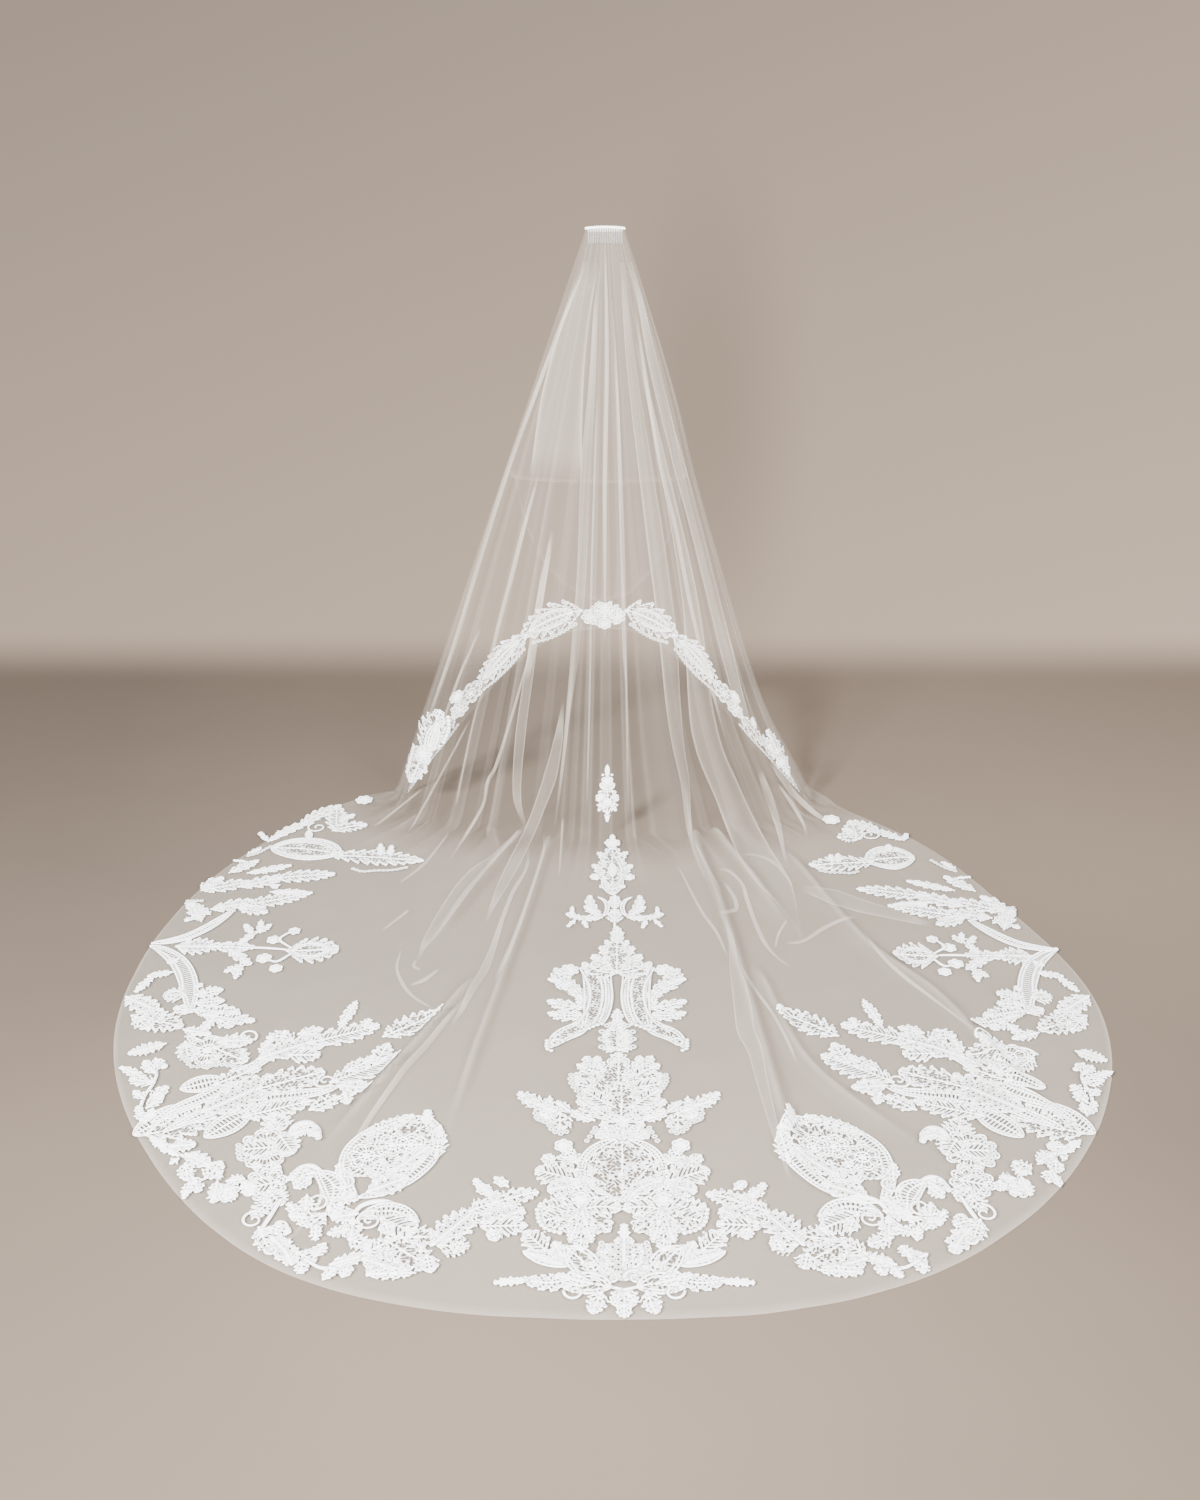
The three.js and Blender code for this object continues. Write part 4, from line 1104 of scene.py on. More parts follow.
def knobs_field(x, y, knobs):
    path = np.array(knobs.path, float)
    runs = [0]
    if len(path) > 1:
        path = smooth_path(knobs.path, KNOB_STEPS)
        runs = path_runs(path)
    count = max(1, int(round(runs[-1] / (KNOB_PITCH * knobs.radius))) + 1)
    solid = np.full(x.shape, -np.inf)
    for at in np.linspace(0, runs[-1], count):
        centre_x = np.interp(at, runs, path[:, 0])
        centre_y = np.interp(at, runs, path[:, 1])
        solid = np.maximum(solid, knobs.radius - np.hypot(x - centre_x, y - centre_y))
    inside = solid
    if knobs.radius > KNOB_PIERCED:
        solid = np.minimum(solid, KNOB_RING * knobs.radius - solid)
    return inside, solid, HIGH_THREAD * np.sqrt(np.clip(solid / knobs.radius, KNOB_DOME, 1))


FIELDS = {
    Leaf: leaf_field, Cord: cord_field, Band: band_field,
    Flower: flower_field, Curl: curl_field, Knobs: knobs_field,
}


def row_points(row):
    if isinstance(row, Leaf):
        return [row.root, row.tip]
    if isinstance(row, (Cord, Band, Knobs)):
        return list(row.path)
    return [row.middle]


def row_spread(row):
    if isinstance(row, Leaf):
        bow = abs(row.bend) * math.dist(row.root, row.tip)
        return row.width / 2 + bow
    if isinstance(row, (Cord, Band)):
        return row.width
    return 1.3 * row.radius


def moved(row, move, flips):
    """A row with its points moved, and its turns reversed where the move is a mirror."""
    hand = -1 if flips else 1
    if isinstance(row, Leaf):
        return row._replace(root=move(row.root), tip=move(row.tip), bend=hand * row.bend)
    if isinstance(row, (Cord, Band, Knobs)):
        return row._replace(path=[move(p) for p in row.path])
    if isinstance(row, Curl):
        start = 180 - row.start if flips else row.start
        return row._replace(middle=move(row.middle), turns=hand * row.turns, start=start)
    return row._replace(middle=move(row.middle))


def mirrored(axis, rows):
    return [moved(row, lambda p: (2 * axis - p[0], p[1]), True) for row in rows]


def both_sides(axis, rows):
    return rows + mirrored(axis, rows)


def draw_field(rows):
    """The field of a whole motif on its own grid."""
    points = np.array([p for row in rows for p in row_points(row)], float)
    spread = max(row_spread(row) for row in rows) + FIELD_MARGIN
    low = points.min(0) - spread
    high = points.max(0) + spread
    xs = np.arange(low[0], high[0] + CELL, CELL)
    ys = np.arange(low[1], high[1] + CELL, CELL)
    solid = np.full((len(ys), len(xs)), EMPTY)
    height = np.zeros((len(ys), len(xs)))
    for row in rows:
        own = np.array(row_points(row), float)
        reach = row_spread(row) + 3 * CELL
        i0, i1 = np.searchsorted(xs, [own[:, 0].min() - reach, own[:, 0].max() + reach])
        j0, j1 = np.searchsorted(ys, [own[:, 1].min() - reach, own[:, 1].max() + reach])
        x, y = np.meshgrid(xs[i0:i1], ys[j0:j1])
        inside, row_solid, row_height = FIELDS[type(row)](x, y, row)
        window = (slice(j0, j1), slice(i0, i1))
        over = inside > 0
        # Where a form lies over another, the thread under its edge is cut down into a groove, a real recess
        # that the lace's colour also paints dark as shade
        groove = (inside > -GROOVE) & ~over
        below = np.where(groove, np.minimum(height[window], GROOVE_HEIGHT), height[window])
        height[window] = np.where(over, row_height, below)
        solid[window] = np.where(over, row_solid, np.maximum(solid[window], row_solid))
    return xs, ys, solid, height


def cell_cases():
    """For each of the 16 ways that a cell's corners can be inside, the triangles that fill it."""
    cases = []
    for bits in range(16):
        inside = [bool(bits >> k & 1) for k in range(4)]
        ring = []
        for k in range(4):
            if inside[k]:
                ring.append(k)
            if inside[k] != inside[(k + 1) % 4]:
                ring.append(4 + k)
        cases.append([(ring[0], ring[k], ring[k + 1]) for k in range(1, len(ring) - 1)])
    return cases


CELL_CASES = cell_cases()


def mesh_field(xs, ys, solid, height):
    """Points on the plan, their heights, their painted shade, and triangles, with the edges on the field's
    zero line.
    """
    rows, columns = solid.shape
    inside = solid > 0
    count = rows * columns
    x, y = np.meshgrid(xs, ys)

    def crossing(first, second, value_a, value_b):
        t = np.clip(value_a / np.where(value_a == value_b, 1, value_a - value_b), *CROSSING)
        return first + (second - first) * t

    flat_x = crossing(x[:, :-1], x[:, 1:], solid[:, :-1], solid[:, 1:])
    flat_y = y[:, :-1]
    upright_x = x[:-1, :]
    upright_y = crossing(y[:-1, :], y[1:, :], solid[:-1, :], solid[1:, :])
    plan_x = np.concatenate([x.ravel(), flat_x.ravel(), upright_x.ravel()])
    plan_y = np.concatenate([y.ravel(), flat_y.ravel(), upright_y.ravel()])
    edges = np.full(flat_x.size + upright_y.size, EDGE_THREAD)
    heights = np.concatenate([height.ravel(), edges])
    corner = np.arange(count).reshape(rows, columns)
    flat = count + np.arange(flat_x.size).reshape(rows, columns - 1)
    upright = count + flat_x.size + np.arange(upright_y.size).reshape(rows - 1, columns)
    corners = [corner[:-1, :-1], corner[:-1, 1:], corner[1:, 1:], corner[1:, :-1]]
    sides = [flat[:-1], upright[:, 1:], flat[1:], upright[:, :-1]]
    slots = corners + sides
    inside_corners = [inside[:-1, :-1], inside[:-1, 1:], inside[1:, 1:], inside[1:, :-1]]
    bits = sum(corner.astype(int) << k for k, corner in enumerate(inside_corners))
    triangles = []
    for case in range(1, 16):
        picked = bits == case
        for corners_used in CELL_CASES[case]:
            triangles.append(np.stack([slots[k][picked] for k in corners_used], -1))
    triangles = np.concatenate(triangles)
    used, faces = np.unique(triangles, return_inverse=True)
    # Painted shade: each point's shade is its height as a share of the highest thread, so the lace is
    # coloured darker where its thread lies low; points on cut edges get a middle painted shade
    painted_shades = np.where(used < count, heights[used] / HIGH_THREAD, EDGE_SHADE)
    return plan_x[used], plan_y[used], heights[used], np.clip(painted_shades, 0, 1), faces.reshape(-1, 3)


def lace_piece(name, rows, settle):
    """Meshes a motif and lays it with settle, which turns plan places and heights into points."""
    x, y, heights, painted_shades, faces = mesh_field(*draw_field(rows))
    piece = make_mesh(name, settle(x, y, heights), faces)
    # Stores each point's painted shade, which darkens the lace's colour where its thread lies low
    painted_relief_shade = piece.data.attributes.new("painted_relief_shade", "FLOAT", "POINT")
    painted_relief_shade.data.foreach_set("value", painted_shades.astype(np.float32))
    dress(piece, lace)
    return piece


def lie_on_floor(x, y, heights):
    lift, _ = ridge_lift(x / 1000, y / 1000)
    z = FLOOR_Z + TULLE + lift + (OFF_THE_TULLE + heights) / 1000
    return np.stack([x / 1000, y / 1000, z], -1)


# Where motifs lie was read on enlarged parts of the photograph, as places across and down
# each part. A part has its left and top edge in the photograph's pixels, and its enlargement.
Part = namedtuple("Part", "left top scale")
CENTRE_TOP = Part(470, 880, 5.227)
CENTRE_LOW = Part(470, 1080, 5.227)
LEFT_TOP = Part(110, 795, 4.356)
LEFT_LOW = Part(110, 1000, 4.356)
SHIELD_PART = Part(560, 690, 7.84)


def floor_place(part):
    """Turns a place on a part of the photograph into millimetres on the floor plan."""
    def place(point):
        across = (part.left + point[0] / part.scale - PHOTO_CENTRE[0]) / LENS_PIXELS
        up = (PHOTO_CENTRE[1] - part.top - point[1] / part.scale) / LENS_PIXELS
        drop = math.sin(CAMERA_PITCH) - up * math.cos(CAMERA_PITCH)
        run = (CAMERA_PLACE[2] - FLOOR_Z) / drop
        away = run * (math.cos(CAMERA_PITCH) + up * math.sin(CAMERA_PITCH))
        return (1000 * (CAMERA_PLACE[0] + run * across), 1000 * (CAMERA_PLACE[1] + away))
    return place


def on_floor(part, rows):
    place = floor_place(part)
    return [moved(row, place, False) for row in rows]


SHIELD = both_sides(411, [
    Leaf((411, 1622), (411, 1420), 60, 0, 1),
    Flower((282, 1480), 17, 7),
    Flower((338, 1555), 11, 6),
    Leaf((411, 1540), (252, 1385), 46, -0.1, 2, "rings"),
    Leaf((411, 1450), (292, 1285), 44, -0.12, 2, "bars"),
    Leaf((411, 1590), (411, 1225), 74, 0, 4, "worms"),
    Flower((411, 1212), 23, 7),
    Leaf((411, 1190), (411, 1150), 16, 0, 1, "plain"),
    Cord([(411, 1560), (345, 1500), (340, 1420), (372, 1350), (411, 1300)], 6),
    Curl((350, 1455), 10, 1.1, 200),
    Leaf((411, 1480), (411, 1370), 24, 0, 1, "plain"),
])

WING_CREST = both_sides(757, [
    Leaf((757, 162), (757, 90), 36, 0, 2, "rings"),
    Leaf((757, 240), (757, 158), 42, 0, 3, "rings"),
    Cord([(757, 232), (758, 262)], 7),
    Band([(668, 100), (702, 118), (718, 150), (706, 188), (668, 212)], 12),
    Leaf((690, 200), (628, 88), 30, 0.12),
    Leaf((680, 195), (598, 148), 30, 0, 3),
    Leaf((690, 208), (560, 214), 30, 0, 4, "rings"),
    Leaf((590, 214), (502, 188), 26, 0, 3, "rings"),
    Leaf((530, 205), (536, 150), 14, 0, 2, "plain"),
    Leaf((555, 215), (506, 258), 14, 0, 2, "plain"),
    Leaf((590, 218), (614, 264), 14, 0, 2, "plain"),
])

KEYHOLE_ARCH = both_sides(768, [
    Leaf((590, 606), (452, 470), 50, 0.12),
    Flower((520, 482), 24, 7),
    Leaf((600, 668), (404, 526), 38, -0.14, 5),
    Leaf((610, 680), (404, 640), 44, 0.06),
    Leaf((600, 715), (408, 704), 44, 0.1),
    Curl((480, 486), 17, 1.2, 200),
    Band([(632, 726), (565, 786), (505, 812), (462, 838), (424, 880)], 46, "worms"),
    Curl((452, 862), 17, 1.2, 20),
    Knobs([(402, 850), (402, 890), (425, 902)], 5),
    Band([(600, 450), (645, 510), (666, 580), (668, 650), (644, 730), (600, 780)], 66, "worms"),
    Cord([(574, 470), (596, 510), (622, 560), (628, 630), (608, 700), (570, 752)], 6),
    Cord([(640, 450), (668, 500), (690, 560), (692, 630), (675, 710), (640, 762)], 6),
    Band([(700, 500), (718, 545), (727, 600), (726, 650), (708, 710), (672, 772)], 19),
    Cord([(735, 500), (740, 560), (744, 610), (740, 660), (722, 722), (690, 772)], 5),
    Leaf((768, 500), (600, 452), 60, 0.1, 3, "worms"),
    Leaf((768, 478), (640, 402), 50, 0.04, 3, "rings"),
    Leaf((768, 430), (680, 356), 40, 0, 3, "rings"),
    Leaf((765, 390), (710, 326), 28, 0, 2),
    Leaf((768, 500), (768, 310), 74, 0, 4, "worms"),
    Leaf((765, 345), (765, 256), 34, 0, 2, "rings"),
    Curl((662, 454), 17, 1.3, 60),
    Curl((724, 470), 13, 1.2, 120),
    Knobs([(690, 762), (650, 775), (612, 790), (575, 800)], 5),
])

PINE = both_sides(770, [
    Leaf((770, 905), (770, 770), 66, 0, 4, "worms"),
    Leaf((768, 780), (768, 686), 28, 0, 3),
    Leaf((768, 790), (718, 760), 24, 0, 2),
    Leaf((768, 840), (696, 800), 30, 0, 2),
    Leaf((768, 880), (690, 842), 30, 0, 2),
    Leaf((768, 905), (690, 886), 26, 0, 2),
    Knobs([(716, 772)], 7),
    Knobs([(690, 804)], 8),
    Knobs([(686, 842)], 8),
    Knobs([(688, 884)], 8),
])

BLOOM_TOP = both_sides(776, [
    Flower((776, 975), 28, 6),
    Leaf((776, 1200), (776, 960), 120, 0, 4, "worms"),
    Leaf((770, 960), (776, 915), 34, 0, 2),
    Leaf((755, 1030), (598, 932), 46, 0.1),
    Curl((622, 985), 20, 1.2, 80),
    Leaf((750, 1060), (560, 975), 50),
    Leaf((745, 1080), (528, 1035), 66, 0, 4, "worms"),
    Leaf((745, 1110), (530, 1075), 60, 0, 5),
    Leaf((750, 1140), (560, 1140), 64, 0, 5, "worms"),
    Knobs([(528, 1030), (524, 1062), (545, 1098), (575, 1130)], 6),
    Leaf((690, 1010), (660, 930), 26, 0, 2),
])

BLOOM_LOW = both_sides(792, [
    Leaf((785, 215), (560, 112), 50, 0.06),
    Leaf((785, 180), (590, 60), 60, 0, 5),
    Leaf((785, 225), (640, 150), 44, 0.06, 3),
    Leaf((792, 215), (792, 20), 80, 0, 4, "worms"),
])

# The right spray is the left one mirrored about this line
SPRAY_AXIS = 778
SPRAY = [
    Cord([(650, 222), (600, 200), (540, 184), (480, 172), (420, 160)], 9),
    Leaf((650, 222), (520, 172), 30, 0.06),
    Leaf((520, 180), (452, 120), 26, 0, 3),
    Leaf((450, 172), (250, 76), 44, 0.05, 6),
    Leaf((400, 150), (285, 122), 34, 0, 3),
    Leaf((420, 160), (418, 98), 18, 0, 2),
    Flower((410, 175), 22, 6),
    Flower((470, 232), 26, 7),
    Flower((385, 206), 20, 6),
    Leaf((470, 180), (470, 292), 50, 0, 3, "worms"),
    Knobs([(342, 186), (352, 214), (384, 228), (410, 244), (430, 274), (470, 292), (504, 282)], 6),
]

BELL_MEDALLION = both_sides(796, [
    Leaf((790, 330), (788, 205), 34, 0, 2),
    Leaf((785, 320), (690, 228), 34, 0.08, 3),
    Leaf((770, 330), (640, 268), 34, 0.05, 3, "rings"),
    Knobs([(655, 262), (632, 300), (612, 330)], 6),
    Band([(760, 320), (690, 345), (630, 385), (592, 440), (585, 500), (612, 540)], 20),
    Cord([(770, 345), (705, 372), (655, 412), (630, 470)], 5),
    Leaf((796, 650), (796, 330), 150, 0, 4, "worms"),
    Leaf((770, 600), (640, 440), 80, 0, 4, "worms"),
    Leaf((780, 662), (560, 530), 46, -0.14, 4, "rings"),
    Cord([(790, 672), (720, 655), (650, 615), (590, 560)], 6),
    Leaf((575, 560), (384, 404), 62, 0, 4, "worms"),
    Flower((490, 356), 20, 6),
    Leaf((560, 450), (490, 372), 38, 0, 3),
    Leaf((570, 540), (338, 482), 76, 0, 5),
    Leaf((570, 560), (400, 592), 60, 0, 4, "rings"),
    Leaf((600, 640), (545, 545), 40, 0, 3),
    Flower((580, 640), 22, 6),
    Leaf((590, 700), (352, 672), 72, 0, 6),
    Leaf((590, 705), (358, 752), 76, 0, 6),
    Leaf((590, 700), (470, 800), 66, 0, 4, "worms"),
    Leaf((585, 690), (790, 690), 60, 0.1),
    Leaf((600, 710), (730, 805), 64, 0, 4, "worms"),
    Leaf((586, 690), (578, 905), 62, 0, 3, "worms"),
    Leaf((586, 700), (526, 850), 36, 0, 3),
    Leaf((586, 700), (634, 850), 36, 0, 3),
    Knobs([(352, 690), (362, 750), (400, 790), (470, 812)], 5),
])

PALMETTE = both_sides(806, [
    Leaf((806, 1060), (806, 830), 90, 0, 4, "rings"),
    Leaf((806, 850), (806, 760), 22, 0, 2, "plain"),
    Leaf((800, 1010), (690, 868), 44, 0.1, 3, "worms"),
    Leaf((800, 1030), (684, 945), 40, 0, 3),
    Leaf((800, 1060), (686, 1000), 36, 0, 2),
    Knobs([(688, 866), (676, 930), (690, 992)], 6),
    Curl((748, 1046), 20, 1.4, 0),
    Leaf((806, 1120), (806, 1258), 40, 0, 2),
    Leaf((806, 1115), (738, 1180), 28, 0, 2),
    Cord([(806, 1112), (730, 1094), (650, 1062), (570, 1012), (480, 955), (390, 930), (290, 908)], 9),
    Leaf((520, 985), (274, 908), 32, 0, 1, "rings"),
    Leaf((400, 905), (286, 800), 56),
    Leaf((500, 965), (440, 856), 40, 0, 3, "rings"),
    Leaf((640, 1060), (500, 885), 56, -0.08, 1, "worms"),
    Leaf((690, 1080), (622, 960), 46),
    Leaf((600, 1020), (265, 1052), 42, 0.14, 6),
    Leaf((300, 1060), (116, 1072), 22, 0, 4, "plain"),
    Leaf((740, 1100), (486, 1098), 52, -0.12, 1, "worms"),
    Curl((545, 1118), 19, 1.1, 180),
    Leaf((690, 1120), (636, 1238), 40),
    Leaf((640, 1080), (440, 1030), 30, 0, 3),
])

SIDE_SCROLL = [
    Cord([(648, 178), (700, 205), (770, 160), (850, 132), (920, 92), (985, 58)], 9),
    Leaf((690, 212), (900, 112), 40, 0.05, 6, "rings"),
    Leaf((830, 140), (1010, 52), 52, 0.06, 5, "rings"),
    Curl((905, 148), 30, 1.3, 120),
    Leaf((985, 168), (990, 55), 60),
    Leaf((970, 165), (1124, 140), 60, 0.08, 5, "worms"),
    Leaf((1000, 120), (1070, 92), 30, 0, 3),
    Leaf((690, 210), (652, 168), 18, 0, 2, "plain"),
    Flower((1108, 30), 26, 7),
]

EGG_LEAF = [
    Leaf((700, 240), (1010, 262), 122, 0.05, 1, "rings"),
    Leaf((712, 240), (985, 262), 92, 0.05, 1, "worms"),
    Leaf((868, 200), (866, 162), 22, 0, 1, "plain"),
    Leaf((960, 268), (1368, 295), 80, 0, 8, "worms"),
    Leaf((1180, 275), (1180, 220), 22, 0, 2, "plain"),
    Leaf((1220, 275), (1228, 226), 20, 0, 2, "plain"),
    Knobs([(1060, 330), (1100, 342), (1160, 338), (1230, 336), (1290, 325)], 6),
]

UPPER_LEAF = [
    Leaf((398, 425), (620, 385), 58, 0, 5),
    Leaf((560, 410), (770, 362), 58, 0, 5, "rings"),
    Leaf((690, 372), (985, 352), 62, 0, 7),
    Leaf((600, 350), (795, 314), 34, 0, 5),
    Leaf((400, 425), (500, 368), 40, 0.1, 3),
    Leaf((520, 350), (650, 292), 40),
    Leaf((600, 275), (660, 235), 26, 0, 3),
    Knobs([(700, 232), (640, 262), (604, 272)], 6),
    Leaf((600, 300), (536, 294), 14, 0, 2, "plain"),
    Leaf((740, 400), (700, 410), 30, 0, 2),
]

INNER_LEAF = [
    Band([(186, 655), (260, 645), (340, 625), (410, 595), (470, 560), (540, 512)], 30),
    Leaf((440, 508), (650, 470), 58, 0, 5, "rings"),
    Leaf((540, 500), (885, 434), 60, 0, 9),
    Leaf((560, 500), (690, 522), 46),
    Leaf((330, 480), (440, 530), 36, 0, 3),
    Leaf((360, 540), (326, 560), 22, 0, 2, "plain"),
    Leaf((400, 560), (350, 470), 42, 0, 4, "rings"),
    Leaf((700, 430), (860, 432), 30),
    Knobs([(340, 470), (400, 470)], 6),
]

STEM_BUD = [
    Leaf((288, 668), (470, 668), 74, 0, 5, "rings"),
    Leaf((420, 668), (640, 674), 46, 0, 5),
    Cord([(560, 674), (660, 676), (780, 684)], 9),
    Leaf((770, 688), (1000, 682), 112, 0, 5, "rings"),
    Leaf((790, 688), (960, 682), 66, 0, 1, "worms"),
    Flower((716, 640), 19, 6),
    Flower((804, 600), 16, 6),
    Flower((672, 722), 20, 6),
    Flower((724, 766), 17, 6),
    Cord([(790, 675), (740, 640), (770, 612), (804, 602)], 8),
    Cord([(790, 700), (730, 735), (690, 728)], 8),
    Leaf((560, 660), (640, 604), 24, 0, 3),
    Leaf((620, 615), (590, 572), 22, 0, 2),
    Leaf((640, 610), (704, 574), 26, 0, 3),
    Leaf((655, 610), (660, 556), 20, 0, 2),
    Leaf((520, 680), (600, 742), 34, 0, 3, "rings"),
    Leaf((570, 720), (616, 752), 26, 0, 2),
    Leaf((590, 750), (494, 782), 28, 0, 3),
    Leaf((570, 750), (546, 812), 22, 0, 3),
]

EDGE_LEAF = [
    Band([(184, 668), (240, 690), (300, 735), (335, 800), (350, 870), (352, 950)], 46),
    Cord([(190, 676), (262, 716), (310, 790), (322, 880)], 6),
    Leaf((370, 880), (496, 856), 46),
    Leaf((370, 915), (500, 905), 46, 0, 4, "bars"),
    Leaf((360, 945), (570, 955), 54, 0, 5, "bars"),
    Leaf((400, 965), (636, 996), 50, 0, 5, "bars"),
    Leaf((470, 985), (540, 1020), 40, 0, 2),
    Leaf((330, 880), (232, 880), 62, 0, 4, "rings"),
    Curl((276, 886), 24, 1.1, 30),
    Leaf((360, 955), (280, 935), 40, 0, 3),
    Leaf((300, 720), (250, 740), 26, 0, 2),
    Leaf((380, 850), (400, 828), 20, 0, 2, "plain"),
]

EDGE_SPRAY = [
    Leaf((275, 780), (165, 800), 30, 0, 4, "rings"),
    Leaf((190, 800), (110, 872), 26, 0, 4, "rings"),
    Leaf((70, 888), (215, 955), 62, 0, 5, "rings"),
    Leaf((95, 970), (320, 1020), 80, 0, 7, "worms"),
    Leaf((150, 1010), (230, 940), 56, 0, 5),
    Leaf((110, 975), (180, 1030), 46),
    Leaf((450, 985), (395, 1040), 30, 0, 3, "rings"),
    Leaf((320, 1030), (440, 1048), 36),
]

CREST = [
    Cord([(330, 168), (390, 158), (460, 170), (530, 195), (590, 205)], 9),
    Band([(340, 170), (385, 200), (380, 250), (345, 275)], 26),
    Flower((428, 228), 52, 9),
    Leaf((330, 190), (345, 285), 48, 0, 5),
    Leaf((440, 270), (410, 312), 30, 0, 2),
    Leaf((450, 215), (600, 280), 74, 0, 5, "worms"),
    Leaf((470, 195), (625, 190), 52, 0.06, 5, "rings"),
    Curl((598, 168), 24, 1.1, 330),
    Knobs([(325, 262), (352, 296), (390, 300), (440, 296), (490, 290), (540, 298), (590, 300)], 6),
]

TWIG = [
    Leaf((245, 200), (76, 245), 44, 0, 6, "rings"),
    Leaf((200, 265), (215, 312), 34, 0, 3),
    Leaf((225, 310), (252, 292), 14, 0, 1, "plain"),
    Cord([(158, 550), (135, 490), (150, 430), (185, 380), (205, 330), (185, 290)], 8),
    Leaf((200, 330), (150, 275), 34, 0, 3),
    Leaf((150, 345), (44, 302), 26),
    Leaf((195, 370), (85, 352), 40),
    Leaf((150, 440), (105, 405), 24, 0, 2),
    Leaf((175, 440), (255, 385), 36, 0, 3),
    Leaf((160, 480), (235, 425), 32, 0, 3),
    Leaf((150, 545), (120, 470), 24, 0, 2),
    Leaf((158, 545), (190, 480), 24, 0, 2),
]

BIG_LEAF = [
    Leaf((102, 600), (400, 470), 76, 0.04, 1, "bars"),
    Leaf((150, 598), (470, 520), 84, -0.02, 3, "worms"),
    Band([(190, 540), (300, 480), (420, 430), (560, 350), (640, 290), (740, 240)], 34),
    Band([(240, 580), (400, 510), (540, 440), (660, 395), (780, 380), (900, 375)], 36),
    Band([(440, 590), (560, 490), (680, 440), (800, 425), (920, 410), (1000, 385)], 36),
    Leaf((412, 612), (620, 488), 62, 0, 1, "bars"),
    Leaf((305, 400), (500, 350), 56, 0, 1, "bars"),
    Leaf((450, 380), (660, 300), 60, 0, 3, "worms"),
    Leaf((400, 500), (760, 340), 96, 0, 4, "rings"),
    Leaf((640, 400), (940, 320), 90, 0, 6, "worms"),
    Leaf((660, 250), (700, 180), 30, 0, 3),
    Leaf((800, 190), (680, 180), 46, -0.22, 5),
    Leaf((640, 270), (1000, 170), 74, 0.04, 7, "rings"),
    Leaf((860, 200), (1180, 118), 70, 0, 6),
    Leaf((820, 160), (930, 135), 40, 0, 3),
    Leaf((1000, 130), (1076, 14), 30, 0, 5),
    Leaf((1110, 130), (1130, 90), 30, 0, 2),
    Leaf((1190, 170), (1452, 58), 78, 0, 7, "worms"),
    Leaf((780, 250), (920, 250), 60),
    Curl((940, 362), 26, 1.4, 160),
    Leaf((960, 370), (1270, 250), 80, 0, 7),
    Leaf((1150, 290), (1215, 200), 50),
    Leaf((1030, 320), (1150, 262), 44, 0, 3),
    Leaf((990, 385), (1145, 395), 50, 0, 4, "rings"),
    Leaf((1020, 410), (1040, 468), 30, 0, 3),
    Leaf((580, 520), (880, 450), 66, 0, 6),
    Leaf((870, 490), (1000, 430), 50, 0, 4, "worms"),
]

FLOWER_SPRAY = [
    Leaf((740, 590), (712, 500), 66),
    Leaf((740, 590), (690, 540), 40, 0, 3),
    Flower((680, 655), 60, 11),
    Flower((680, 655), 34, 7),
    Leaf((730, 650), (560, 660), 66, 0, 6),
    Leaf((740, 600), (800, 680), 60),
    Cord([(785, 600), (810, 560), (860, 548), (900, 575), (910, 612)], 20),
    Leaf((790, 600), (912, 606), 36, 0.28, 4, "rings"),
    Leaf((660, 730), (620, 740), 44, 0, 2, "rings"),
    Leaf((700, 750), (745, 730), 44, 0, 2, "rings"),
    Flower((676, 812), 46, 9),
    Leaf((740, 800), (600, 830), 60, 0, 5),
    Leaf((690, 840), (756, 905), 50, 0, 5),
    Leaf((700, 880), (620, 960), 44),
    Curl((626, 968), 24, 1.2, 90),
    Cord([(745, 880), (700, 950), (660, 1010), (650, 1045)], 9),
    Curl((736, 992), 22, 1.2, 200),
    Leaf((690, 1000), (790, 1020), 40, 0, 3),
    Leaf((650, 1000), (700, 1110), 44),
    Leaf((700, 1040), (796, 1168), 48, 0.06, 2, "rings"),
    Curl((708, 1096), 14, 1, 180),
    Knobs([(560, 640), (564, 690), (600, 712)], 6),
]

BORDER_SPRAY = [
    Cord([(178, 620), (230, 655), (300, 680), (380, 720), (440, 742)], 7),
    Leaf((180, 612), (300, 690), 26, 0, 3, "plain"),
    Leaf((260, 650), (380, 640), 40, 0, 4, "rings"),
    Leaf((330, 680), (440, 732), 44, 0, 4, "rings"),
    Leaf((330, 720), (340, 800), 36),
    Leaf((360, 780), (390, 850), 34, 0, 3),
    Leaf((350, 800), (322, 878), 22, 0, 3),
    Leaf((300, 700), (264, 722), 22, 0, 2),
]

LOWER_SPRIG = [
    Leaf((415, 790), (490, 712), 44),
    Leaf((440, 790), (490, 760), 34, 0, 3),
    Flower((505, 850), 28, 7),
    Leaf((470, 800), (450, 900), 30, 0, 4, "rings"),
    Leaf((510, 800), (592, 788), 34, 0, 4, "rings"),
    Leaf((500, 880), (552, 862), 26, 0, 3),
    Leaf((590, 800), (610, 860), 30, 0, 3),
]

CURL_ROWS = [
    Cord([(776, 792), (830, 742), (890, 738), (938, 790), (962, 860), (950, 940)], 13),
    Cord([(850, 770), (900, 782), (925, 850), (900, 920)], 8),
    Leaf((900, 760), (772, 792), 40, 0, 5),
    Leaf((880, 780), (800, 832), 36),
    Leaf((900, 760), (960, 900), 50, 0.2, 1, "bars"),
    Curl((904, 888), 26, 1.7, 160),
    Leaf((860, 860), (850, 950), 30, 0, 3),
    Leaf((940, 940), (860, 1000), 44, 0, 4, "worms"),
    Leaf((860, 1000), (775, 890), 30, 0, 5),
    Leaf((900, 990), (895, 1062), 24, 0, 3),
    Leaf((860, 960), (780, 950), 26, 0, 3),
]

